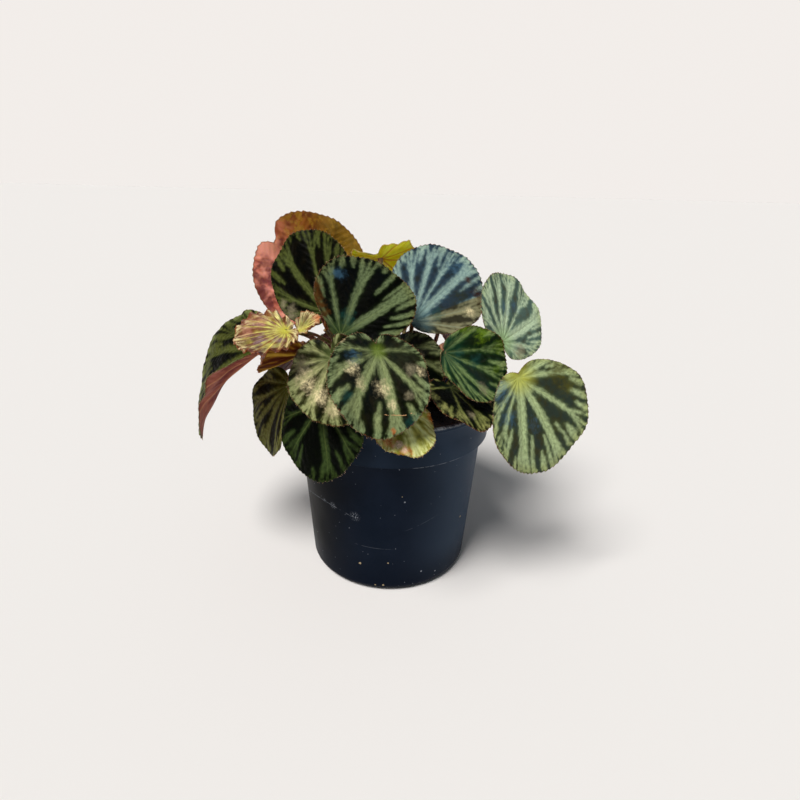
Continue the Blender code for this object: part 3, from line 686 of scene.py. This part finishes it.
def upperSkin(name, leaf):
    look = leaf["look"]
    material, tree, shader = newMaterial("leafTop_" + name, gloss=look["gloss"])
    reach, sideWave, place, fan = markings(tree)
    rim = reading(tree, "rimGap")
    reach = plus(reach, times(stray(fan, "fray"), ramp(rim, 4.5, 0.5)))
    dark = blend(ramp(noise(place, 0.16, 3), 0.42, 0.68), look["dark"], look["darkWarm"])
    dark = blend(ramp(reach, -2.4, 0.0, 0.0, 0.5), dark, look["mid"])
    pale = blend(ramp(rim, 7.0, 0.5), look["pale"], look["paleTip"])
    pale = blend(ramp(noise(fan, 3.0, 3), 0.35, 0.75, 0.0, 0.55), pale, look["mid"])
    if look["lobe"]:  # the part beyond the crease is browner
        lobePale, lobeDark = (tone(*one) for one in look["lobe"])
        beyond = ramp(reading(tree, "beyond"), 0.0, 1.2)
        pale = blend(beyond, pale, lobePale)
        dark = blend(beyond, dark, lobeDark)
    colour = blend(ramp(reach, -1.1, 1.1), dark, pale)
    heart = ramp(reading(tree, "heartGap"), look["heartSize"] * 1.6, look["heartSize"] * 0.2, 0.0, 0.8)
    colour = blend(heart, colour, look["heart"])
    line = ramp(reading(tree, "veinGap"), 0.6, 0.1, 0.0, look["veinShow"])
    line = times(line, ramp(reading(tree, "heartGap"), 1.5, 0.5))
    colour = blend(line, colour, look["vein"])
    colour = withPatches(leaf, colour, place, fan)
    if look["scar"]:
        colour = withScar(look["scar"], colour, place)
    edge = times(ramp(rim, 0.7, 0.1), ramp(noise(place, 1.2, 2), 0.4, 0.6, 0.15, 0.9))  # broken, at the rim
    colour = blend(edge, colour, look["margin"])
    feed(shader.inputs["Base Color"], colour)
    roughness = ramp(noise(place, 0.9, 3), 0.3, 0.7, look["roughness"] - 0.06, look["roughness"] + 0.14)
    feed(shader.inputs["Roughness"], roughness)
    cells = addNode(tree, "ShaderNodeTexVoronoi", {"Vector": place, "Scale": 1.7}).outputs["Distance"]
    before = bumped(shader, cells, 0.00010, 0.6)
    before = bumped(shader, sideWave, 0.00018, 0.35, before)
    bumped(shader, noise(place, 0.55, 3), 0.0007, 0.45, before)
    return material


# Painted light: amber, brown, olive and golden paint the sun shining through the tall leaf's under side, and
# pink paints its highlights; plum is the colour of its own blotches.
glowTones = {  # the under side of the tall leaf, with the light behind it
    "plum": tone(92, 44, 52), "pink": tone(240, 156, 138), "amber": tone(116, 66, 24),
    "brown": tone(80, 36, 18), "olive": tone(110, 96, 20), "golden": tone(136, 104, 30),
}


def underSkin(name, leaf):
    look = leaf["look"]
    fixed = {"through": look["through"], "throughReach": (0.003, 0.002, 0.0006), "throughScale": 1.0}
    material, tree, shader = newMaterial("leafUnder_" + name, roughness=0.55, gloss=0.08, **fixed)
    reach, sideWave, place, fan = markings(tree)
    colour = blend(ramp(reach, -1.2, 1.2, 0.0, 0.8), look["underDark"], look["under"])
    line = ramp(reading(tree, "veinGap"), 0.9, 0.2, 0.0, 0.7)
    colour = blend(line, colour, look["underVein"])
    # the glow is painted light: painted pink highlights go on first, then a painted orange brown on the part
    # where the light shines through
    if look["glow"]:  # where light comes through the blade it turns orange brown
        blotch = noise(place, 0.09, 3)
        colour = blend(ramp(blotch, 0.42, 0.56, 0.0, 0.9), colour, glowTones["plum"])
        shine = ramp(noise(place, 0.07, 3, 0.5), 0.5, 0.64, 0.0, 0.65)
        colour = blend(shine, colour, glowTones["pink"])
        parts = split(place)
        lit = ramp(plus(parts["Y"], centred(blotch, 14)), -22.0, -2.0)
        amber = blend(ramp(blotch, 0.40, 0.55), glowTones["amber"], glowTones["brown"])
        amber = blend(ramp(parts["Y"], 4.0, 26.0, 0.0, 0.6), amber, glowTones["olive"])
        golden = ramp(noise(fan, 1.5, 4, 0.6), 0.5, 0.6, 0.0, 0.6)
        amber = blend(golden, amber, glowTones["golden"])
        colour = blend(lit, colour, amber)
    edge = ramp(reading(tree, "rimGap"), 1.1, 0.1, 0.0, 0.8)
    colour = blend(edge, colour, look["margin"])
    feed(shader.inputs["Base Color"], colour)
    before = bumped(shader, noise(place, 1.4, 3), 0.0002, 0.5)
    bumped(shader, sideWave, -0.0002, 0.4, before)
    return material


rims = {name: growBlade(name, leaf) for name, leaf in leaves.items()}
print("leaves:", len(leaves))


# Stalks, from the rhizome to the blades, and the rhizome itself

rootstock = {  # lengths in mm
    "radius": 5.0, "halfLength": 40.0, "bend": 9.0, "top": 97.3, "lean": 0.7, "pull": 0.35, "startBow": 0.25,
    "steps": 120, "sides": 20, "ringDepth": 0.35, "root": ((100, 3), (95, 2.8), (90, 2.4), (84, 1.2)),
    "scales": 46, "scaleLength": (3, 6), "scaleWidth": (1.4, 2.4), "scaleThickness": 0.25,
    "dark": tone(92, 62, 42), "light": tone(150, 112, 78), "green": tone(104, 96, 52),
}
stalkForm = {  # flare, taper and swell are factors on the leaf's stalk radius
    "steps": 26, "sides": 10, "flare": 1.25, "taper": 0.82, "taperSpeed": 2.2, "topSwell": 1.25, "seat": 0.35,
    "red": tone(140, 74, 52), "green": tone(120, 112, 58), "streak": tone(176, 112, 88),
}


def rhizomePoint(share):
    return Vector((rootstock["halfLength"] * share, rootstock["bend"] * math.sin(math.pi * share),
                   rootstock["top"] + rootstock["radius"]))


def stalkLine(leaf):  # from a little inside the rhizome to just under the blade
    ahead = rhizomePoint(leaf["root"] + 0.01) - rhizomePoint(leaf["root"] - 0.01)
    aside = Vector((ahead.y, -ahead.x, 0)).normalized()
    startWay = (Vector((0, 0, 1)) + aside * leaf["side"] * rootstock["lean"]).normalized()
    start = rhizomePoint(leaf["root"]) + startWay * (rootstock["radius"] - 0.5)
    tilt = math.sqrt(max(0, 1 - leaf["arrive"].dot(leaf["outward"]) ** 2))
    end = leaf["at"] - leaf["outward"] * (stalkForm["seat"] + leaf["stalk"] * tilt * 0.8)
    length = (end - start).length
    first = start + startWay * length * rootstock["pull"] + leaf["bow"] * rootstock["startBow"]
    second = end - leaf["arrive"] * length * rootstock["pull"] + leaf["bow"]
    return interpolate_bezier(start, first, second, end, stalkForm["steps"])


def tubeMesh(line, radii, sides):  # a closed tube along points, in mm
    points, faces = [], []
    upright = Vector((0.3, 0.2, 1))
    for index, point in enumerate(line):
        ahead = (line[min(index + 1, len(line) - 1)] - line[max(index - 1, 0)]).normalized()
        across = ahead.cross(upright).normalized()
        upright = across.cross(ahead).normalized()
        for side in range(sides):
            turn = fullTurn * side / sides
            points.append(point + (across * math.cos(turn) + upright * math.sin(turn)) * radii[index])
    last = len(points) - sides
    for ring in range(0, last, sides):
        for side in range(sides):
            other = (side + 1) % sides
            faces.append((ring + side, ring + other, ring + sides + other, ring + sides + side))
    faces += [tuple(range(sides))[::-1], tuple(range(last, last + sides))]
    return points, faces


def stalkSkin():
    material, tree, shader = newMaterial("stalkSkin", roughness=0.5, through=0.15,
                                         throughReach=(0.002, 0.001, 0.0006))
    place = objectPlace(tree)
    along = noise(scaled(place, (900, 900, 180)), 1.0, 3)
    blush = noise(place, 60, 2)
    colour = blend(ramp(blush, 0.35, 0.65), stalkForm["red"], stalkForm["green"])
    colour = blend(ramp(along, 0.5, 0.75), colour, stalkForm["streak"])
    feed(shader.inputs["Base Color"], colour)
    bumped(shader, along, 0.0002, 0.5)
    return material


def growStalks():
    skin = stalkSkin()
    lines = {}
    flare, taper = stalkForm["flare"], stalkForm["taper"]
    for name, leaf in leaves.items():
        line = stalkLine(leaf)
        parts = [min(1, index / (len(line) - 1) * stalkForm["taperSpeed"]) for index in range(len(line))]
        radii = [leaf["stalk"] * (flare + (taper - flare) * part) for part in parts]
        radii[-1] *= stalkForm["topSwell"]
        points, faces = tubeMesh(line, radii, stalkForm["sides"])
        piece = meshPiece("petiole_" + name, [point * mm for point in points], faces, [skin])
        fit(piece, "stalk_skin", "stalk_" + name)
        lines[name] = line
    return lines


stalkLines = growStalks()
print("stalks:", len(stalkLines))


hairs = {  # lengths in mm; perRim is for a leaf of the usual radius
    "perRim": 150, "rimLength": 0.9, "perStalk": 110, "stalkLength": 1.3,
    "lengths": (0.5, 1.1), "thickness": 0.07,
    "rimTone": tone(150, 92, 66), "stalkTone": tone(200, 160, 140), "paler": tone(214, 190, 160),
}


def addHair(points, faces, start, way, length):  # a thin spike with three sides
    way = way.normalized()
    across = way.orthogonal().normalized()
    other = way.cross(across)
    base = len(points)
    points += [(start + across * x + other * y) * mm for x, y in circle(hairs["thickness"], 3)]
    points.append((start + way * length) * mm)
    faces += [(base, base + 1, base + 3), (base + 1, base + 2, base + 3), (base + 2, base, base + 3)]


def hairSkin(name, colour):
    material, tree, shader = newMaterial(name, roughness=0.6)
    place = objectPlace(tree)
    feed(shader.inputs["Base Color"], blend(noise(place, 300, 2), colour, hairs["paler"]))
    return material


def growHairs():
    chance = random.Random(41)
    points, faces = [], []
    for name, leaf in leaves.items():
        place, outward, normal = rims[name]
        for _ in range(int(hairs["perRim"] * leaf["radius"] / blade["usualRadius"])):
            corner = chance.randrange(len(place))
            way = Vector(outward[corner]).normalized() + Vector(normal[corner]) * chance.uniform(-0.5, 0.5)
            way += Vector([chance.uniform(-0.4, 0.4) for _ in range(3)])
            length = hairs["rimLength"] * chance.uniform(*hairs["lengths"])
            addHair(points, faces, Vector(place[corner]), way, length)
    piece = meshPiece("rimHairs", points, faces, [hairSkin("rimHairSkin", hairs["rimTone"])])
    fit(piece, "leaf_banded")
    points, faces = [], []
    for name, leaf in leaves.items():
        line = stalkLines[name]
        for _ in range(hairs["perStalk"]):
            index = chance.randrange(2, len(line) - 2)
            ahead = (line[index + 1] - line[index - 1]).normalized()
            spot = line[index].lerp(line[index + 1], chance.random())
            way = Vector([chance.uniform(-1, 1) for _ in range(3)])
            way = (way - ahead * way.dot(ahead)).normalized()
            length = hairs["stalkLength"] * chance.uniform(*hairs["lengths"])
            addHair(points, faces, spot + way * leaf["stalk"] * 0.85, way + ahead * 0.2, length)
    piece = meshPiece("stalkHairs", points, faces, [hairSkin("stalkHairSkin", hairs["stalkTone"])])
    fit(piece, "stalk_skin")


growHairs()
print("hairs are on")


def addScale(points, faces, spot, chance):  # a small papery scale on the rhizome
    turn = chance.uniform(-0.2, math.pi + 0.2)
    way = Vector((chance.uniform(-0.3, 0.3), math.cos(turn), math.sin(turn))).normalized()
    ahead = way.cross(Vector((1, 0, 0))).normalized()
    length, wide = chance.uniform(*rootstock["scaleLength"]), chance.uniform(*rootstock["scaleWidth"])
    base = len(points)
    foot = spot + way * (rootstock["radius"] - 0.4)
    tip = foot + way * length * 0.8 + Vector((chance.uniform(-1, 1), 0, 0)) * length * 0.5
    middle = (foot + tip) / 2 + way * 0.3
    shoulder = ahead * wide * 0.7
    outline = [foot - ahead * wide, foot + ahead * wide, middle + shoulder, tip, middle - shoulder]
    points += outline + [point + Vector((rootstock["scaleThickness"], 0, 0)) for point in outline]
    faces += [tuple(range(base, base + 5)), tuple(range(base + 9, base + 4, -1))] + bridge(base, base + 5, 5)


def rhizomeSkin():
    material, tree, shader = newMaterial("rhizomeSkin", roughness=0.75)
    place = objectPlace(tree)
    patch = noise(place, 220, 4)
    colour = blend(ramp(patch, 0.35, 0.7), rootstock["dark"], rootstock["light"])
    colour = blend(ramp(noise(place, 90, 2), 0.5, 0.7), colour, rootstock["green"])
    feed(shader.inputs["Base Color"], colour)
    bumped(shader, patch, 0.0006, 0.7)
    return material


def addRhizome():
    chance = random.Random(5)
    steps, count = rootstock["steps"], rootstock["scales"]
    line = [rhizomePoint(-1 + 2 * index / steps) for index in range(steps + 1)]
    radii = []
    for index in range(steps + 1):
        end = max(0, abs(2 * index / steps - 1) - 0.93)  # past 0 only in the round ends
        ring = rootstock["ringDepth"] * abs(math.sin(index * 0.62))
        radii.append(rootstock["radius"] * math.sqrt(max(0.02, 1 - end**2 / 0.005)) - ring)
    points, faces = tubeMesh(line, radii, rootstock["sides"])
    for index in range(count):
        addScale(points, faces, rhizomePoint(-0.96 + 1.92 * (index + 0.5) / count), chance)
    heights, radii = zip(*rootstock["root"])
    rootPoints, rootFaces = tubeMesh([Vector((0, 0, height)) for height in heights], radii, 12)
    faces += [tuple(len(points) + corner for corner in face) for face in rootFaces]
    points += rootPoints
    piece = meshPiece("rhizomeStem", [Vector(point) * mm for point in points], faces, [rhizomeSkin()])
    fit(piece, "rhizome_skin", "rhizome")


addRhizome()
print("rhizome is laid")


# The pot

pot = {
    "rim": 60.0, "height": 109.3, "lipWidth": 2.2, "lipHeight": 2.4, "collarFoot": 87.8, "collar": 58.7,
    "wallTop": 55.1, "base": 49.0, "baseCorner": 5.0, "wall": 1.3, "footInner": 41.0, "footHeight": 3.0,
    "pad": 14.0, "padStep": 1.0, "sides": 160,
    "drains": 8, "drainRing": 30.0, "drainRadius": 4.0, "drainTurn": 0.4,
}


def potWall(height):
    return pot["base"] + (pot["wallTop"] - pot["base"]) * height / pot["collarFoot"]


def arc(x, z, radius, start, end, steps):
    turns = [math.radians(start + (end - start) * step / steps) for step in range(steps + 1)]
    return [(x + radius * math.cos(turn), z + radius * math.sin(turn)) for turn in turns]


def potProfile():  # up the inside from the middle, over the lip, and down the outside to the middle
    top, wall = pot["height"], pot["wall"]
    floorTop = pot["footHeight"] + wall
    cornerX = potWall(pot["baseCorner"]) - pot["baseCorner"]
    lipIn, ledge = pot["rim"] - pot["lipWidth"], pot["collarFoot"] + wall
    profile = [(0, wall), (pot["pad"] - pot["padStep"], wall), (pot["pad"], floorTop), (cornerX, floorTop)]
    profile += [(potWall(8) - wall, 8), (potWall(50) - wall, 50), (pot["wallTop"] - wall, ledge - 0.5)]
    profile += [(pot["collar"] - wall - 0.5, ledge), (pot["collar"] - wall, ledge + 0.8), (lipIn, top - 3.2)]
    profile += arc(lipIn + 0.7, top - 0.7, 0.7, 180, 90, 4)
    profile += arc(pot["rim"] - 0.9, top - 0.9, 0.9, 90, 0, 5)
    profile += arc(pot["rim"] - 0.5, top - pot["lipHeight"] + 0.1, 0.5, 0, -80, 4)
    profile += [(pot["collar"] + 0.35, top - pot["lipHeight"] - 1.2), (pot["collar"] + 0.1, 98)]
    profile += arc(pot["collar"] - 0.45, pot["collarFoot"] + 0.45, 0.45, 0, -90, 4)
    profile += [(pot["wallTop"] + 0.25, pot["collarFoot"] + 0.02), (pot["wallTop"], pot["collarFoot"] - 0.5)]
    profile += [(potWall(height), height) for height in (70, 50, 30, 14)]
    profile += arc(cornerX, pot["baseCorner"], pot["baseCorner"], 0, -90, 10)
    profile += arc(pot["footInner"] + 0.6, 0.6, 0.6, -90, -180, 3)
    profile += [(pot["footInner"], pot["footHeight"]), (pot["pad"] + pot["padStep"], pot["footHeight"])]
    return profile + [(pot["pad"], 0), (0, 0)]


potMarks = {  # places are mm round the wall from the front and mm up from the floor
    # the dark side tone is painted shade on the left, and the light side tone is painted light with a blue
    # sky reflection on the right and on the collar
    "plastic": (tone(17, 26, 38), tone(25, 33, 46)), "paintedShade": tone(8, 9, 9),
    "paintedLight": tone(56, 70, 88), "lowPart": tone(8, 18, 32), "chalk": tone(150, 156, 166),
    # the lip and edge tones are painted highlights
    "lipHighlight": tone(176, 184, 190), "dirt": tone(188, 168, 132), "edgeHighlight": tone(92, 100, 114), "wallRadius": 52.5,
    "scratches": (  # from, to, height, rise, curve, how strong
        (-66, -21, 48.8, 0.45, -0.0088, 0.35), (-22, 4, 33.0, -0.10, 0.002, 0.12),
        (8, 30, 44.0, 0.35, 0.0, 0.10), (-60, 10, 85.8, 0.01, 0.0, 0.2), (10, 62, 85.6, -0.02, 0.0, 0.4),
    ),
    "specks": ((3.6, 0.55, 0.6), (5.5, 0.70, 0.7), (11.0, 0.70, 0.9)),  # cell size, share left out, strength
    "clusters": ((-19.5, 52.0, 4.0), (-34.0, 54.5, 3.0), (-41.0, 55.0, 1.8)),  # place, height, size
    "chips": ((-17.4, 19.0, 0.9), (-0.1, 21.7, 0.6), (-2.8, 4.7, 0.8), (6.7, 67.8, 0.35), (51.0, 40.0, 0.8),
              (-8.0, 4.4, 0.5)),
}


def scratchMask(across, height, wear, mark):  # a thin broken line on the wall
    first, last, level, rise, curve, show = mark
    run = minus(across, first)
    path = plus(times(run, rise), times(times(run, run), curve))
    gap = absolute(minus(minus(height, level), path))
    middle, half = (first + last) / 2, (last - first) / 2
    ends = ramp(absolute(minus(across, middle)), half, half - 4)
    line = times(ramp(gap, 0.30, 0.08, 0.0, show), ends)
    return times(line, ramp(wear, 0.40, 0.55))


def speckMask(wall, size, chosen, share):  # one dot in some cells of an uneven grid
    cells = addNode(wall.id_data, "ShaderNodeTexVoronoi", {"Vector": wall, "Scale": 1 / size}).outputs
    picked = ramp(split(cells["Color"])["X"], chosen, chosen + 0.01)
    return times(ramp(cells["Distance"], 0.07, 0.03, 0.0, share), picked)


def potSkin():
    material, tree, shader = newMaterial("potPlastic", gloss=0.04)
    place = objectPlace(tree)
    cloud = noise(place, 26, 4)
    parts = split(place)
    turn = calc("ARCTAN2", parts["X"], times(parts["Y"], -1))  # 0 at the front
    across = times(turn, potMarks["wallRadius"])
    side, height = (times(parts[way], 1000) for way in ("X", "Z"))
    wall = addNode(tree, "ShaderNodeCombineXYZ", {0: across, 1: height}).outputs[0]
    wear = noise(wall, 0.35, 4, 0.7)
    layers = [
        # painted shade darkens the left side; painted light with a blue sky reflection lightens the right
        # side and, a little, the collar above its foot
        (ramp(side, -10.0, -48.0), "paintedShade"), (ramp(side, 6.0, 52.0), "paintedLight"),
        (ramp(height, 87.0, 89.0, 0.0, 0.25), "paintedLight"), (ramp(height, 30.0, 2.0, 0.0, 0.7), "lowPart"),
        # painted highlight along the top of the lip, broken up by the wear noise
        (times(ramp(height, 107.8, 109.0), ramp(wear, 0.42, 0.58, 0.2, 1.0)), "lipHighlight"),
    ]
    layers += [(scratchMask(across, height, wear, mark), "chalk") for mark in potMarks["scratches"]]
    layers += [(speckMask(wall, *mark), "chalk") for mark in potMarks["specks"]]
    for x, z, size in potMarks["clusters"]:
        near = ramp(distance(wall, (x, z, 0)), size, size * 0.3, 0.0, 0.7)
        layers.append((times(near, ramp(noise(wall, 1.6, 3, 0.7), 0.52, 0.62)), "chalk"))
    for x, z, size in potMarks["chips"]:
        gap = plus(distance(wall, (x, z, 0)), centred(noise(wall, 1.2, 2), size * 2))
        layers.append((ramp(gap, size, size * 0.5, 0.0, 0.85), "dirt"))
    # painted highlight on the sharp edges, such as the collar's lower edge, broken up by the wear noise
    edges = addNode(tree, "ShaderNodeNewGeometry", {}).outputs["Pointiness"]
    layers.append((times(ramp(edges, 0.53, 0.60, 0.0, 0.5), ramp(wear, 0.35, 0.6)), "edgeHighlight"))
    colour = blend(ramp(cloud, 0.35, 0.7), *potMarks["plastic"])
    for mask, kind in layers:
        colour = blend(mask, colour, potMarks[kind])
    feed(shader.inputs["Base Color"], colour)
    feed(shader.inputs["Roughness"], ramp(cloud, 0.3, 0.7, 0.36, 0.5))
    before = bumped(shader, noise(place, 1500, 2), 0.00004, 0.5)
    bumped(shader, noise(scaled(place, (60, 60, 18)), 1.0, 2), 0.0006, 0.25, before)
    return material


def addPot():
    profile = potProfile()
    form = bmesh.new()
    chain = [form.verts.new((x * mm, 0, z * mm)) for x, z in profile]
    edges = [form.edges.new(pair) for pair in zip(chain, chain[1:])]
    bmesh.ops.spin(form, geom=chain + edges, axis=(0, 0, 1), cent=(0, 0, 0),
                   steps=pot["sides"], angle=fullTurn)
    bmesh.ops.remove_doubles(form, verts=form.verts, dist=0.00002)
    bmesh.ops.recalc_face_normals(form, faces=form.faces)
    mesh = bpy.data.meshes.new("nurseryPot")
    form.to_mesh(mesh)
    form.free()
    mesh.materials.append(potSkin())
    piece = placed("nurseryPot", mesh)
    cutter, radius = bmesh.new(), pot["drainRadius"] * mm
    for x, y in circle(pot["drainRing"] * mm, pot["drains"], pot["drainTurn"]):
        bmesh.ops.create_cone(cutter, cap_ends=True, segments=32, radius1=radius, radius2=radius, depth=0.012,
                              matrix=Matrix.Translation((x, y, 0.004)))
    cutterMesh = bpy.data.meshes.new("drainCutter")
    cutter.to_mesh(cutterMesh)
    cutter.free()
    drains = placed("drainCutter", cutterMesh)
    cut = piece.modifiers.new("drains", "BOOLEAN")
    cut.operation = "DIFFERENCE"
    cut.object = drains
    graph = bpy.context.evaluated_depsgraph_get()
    done = bpy.data.meshes.new_from_object(piece.evaluated_get(graph))
    piece.modifiers.clear()
    piece.data = done
    bpy.data.objects.remove(drains)
    done.name = "nurseryPot"
    done.shade_smooth()
    done.set_sharp_from_angle(angle=math.radians(35))
    fit(piece, "pot_plastic", "pot")


addPot()
print("pot is turned")


# The potting mix: a rough top with crumbs, bark and a little perlite

soil = {
    "top": 97.0, "radius": 56.0, "rings": 34, "spokes": 120, "rough": 0.35,
    "kinds": {  # two tones and the roughness
        "peat": ((44, 31, 24), (22, 15, 12), 0.95), "bark": ((92, 60, 38), (48, 30, 20), 0.85),
        "perlite": ((214, 208, 198), (170, 160, 146), 0.8),
    },
    "lumps": (  # how many, smallest and largest in mm, which kind, stretch, how far they stand out
        (900, 0.4, 1.3, 0, (1, 1, 1), 0.3), (110, 1.2, 2.8, 1, (1, 0.35, 0.2), 0.2),
        (46, 0.5, 1.3, 2, (1, 0.9, 0.8), 0.3),
    ),
}


def lump(points, faces, centre, size, chance, stretch):  # a rough grain
    form = bmesh.new()
    bmesh.ops.create_icosphere(form, subdivisions=1, radius=1)
    turn = Euler([chance.uniform(0, 6) for _ in range(3)]).to_matrix()
    base = len(points)
    for vert in form.verts:
        rough = vert.co * chance.uniform(0.75, 1.15)
        rough = turn @ Vector([part * factor for part, factor in zip(rough, stretch)])
        points.append((Vector(centre) + rough * size) * mm)
    faces += [tuple(base + vert.index for vert in face.verts) for face in form.faces]
    form.free()


def soilHeight(x, y):  # low waves, and a dip along the wall
    wave = math.sin(x * 0.21 + 1) * math.cos(y * 0.19) * 0.7 + math.sin(x * 0.67 + y * 0.53) * 0.4
    edge = max(0, (math.hypot(x, y) - 46) / 10)
    return soil["top"] - 0.3 + wave * 0.8 - 1.2 * edge


def soilSkin(name, first, second, roughness):
    material, tree, shader = newMaterial(name, roughness=roughness, gloss=0.2)
    grain = noise(objectPlace(tree), 700, 4, 0.7)
    feed(shader.inputs["Base Color"], blend(ramp(grain, 0.35, 0.65), tone(*first), tone(*second)))
    bumped(shader, grain, 0.0006, 0.8)
    return material


def addSoil():
    chance = random.Random(17)
    spokes, rings, rough = soil["spokes"], soil["rings"], soil["rough"]
    points = [(0, 0, soilHeight(0, 0) * mm)]
    for ring in range(1, rings + 1):
        for x, y in circle(soil["radius"] * ring / rings, spokes):
            points.append((x * mm, y * mm, (soilHeight(x, y) + chance.uniform(-rough, rough)) * mm))
    below = [(soil["radius"], 90.0), (53.2, 88.6), (potWall(8) - 2, 8.0), (potWall(5) - 8, 4.9)]
    below += [(14, 4.9), (12.5, 1.8)]
    for radius, height in below:  # inside the pot, down to its pad
        points += [(x * mm, y * mm, height * mm) for x, y in circle(radius, spokes)]
    points.append((0, 0, 0.0018))
    starts = [1 + ring * spokes for ring in range(rings + len(below))]
    faces = cap(0, 1, spokes)
    for one, other in zip(starts, starts[1:]):
        faces += bridge(one, other, spokes)
    faces += [face[::-1] for face in cap(len(points) - 1, starts[-1], spokes)]
    slots = [0] * len(faces)
    for count, low, high, kind, stretch, lift in soil["lumps"]:
        for _ in range(count):
            radius = soil["radius"] * 0.98 * math.sqrt(chance.random())
            turn = chance.uniform(0, fullTurn)
            x, y = radius * math.cos(turn), radius * math.sin(turn)
            size = chance.uniform(low, high)
            lump(points, faces, (x, y, soilHeight(x, y) + size * lift), size, chance, stretch)
            slots += [kind] * (len(faces) - len(slots))
    materials = [soilSkin(name, *kind) for name, kind in soil["kinds"].items()]
    fit(meshPiece("pottingMix", points, faces, materials, slots), "potting_mix", "soil")


addSoil()
print("soil is in")
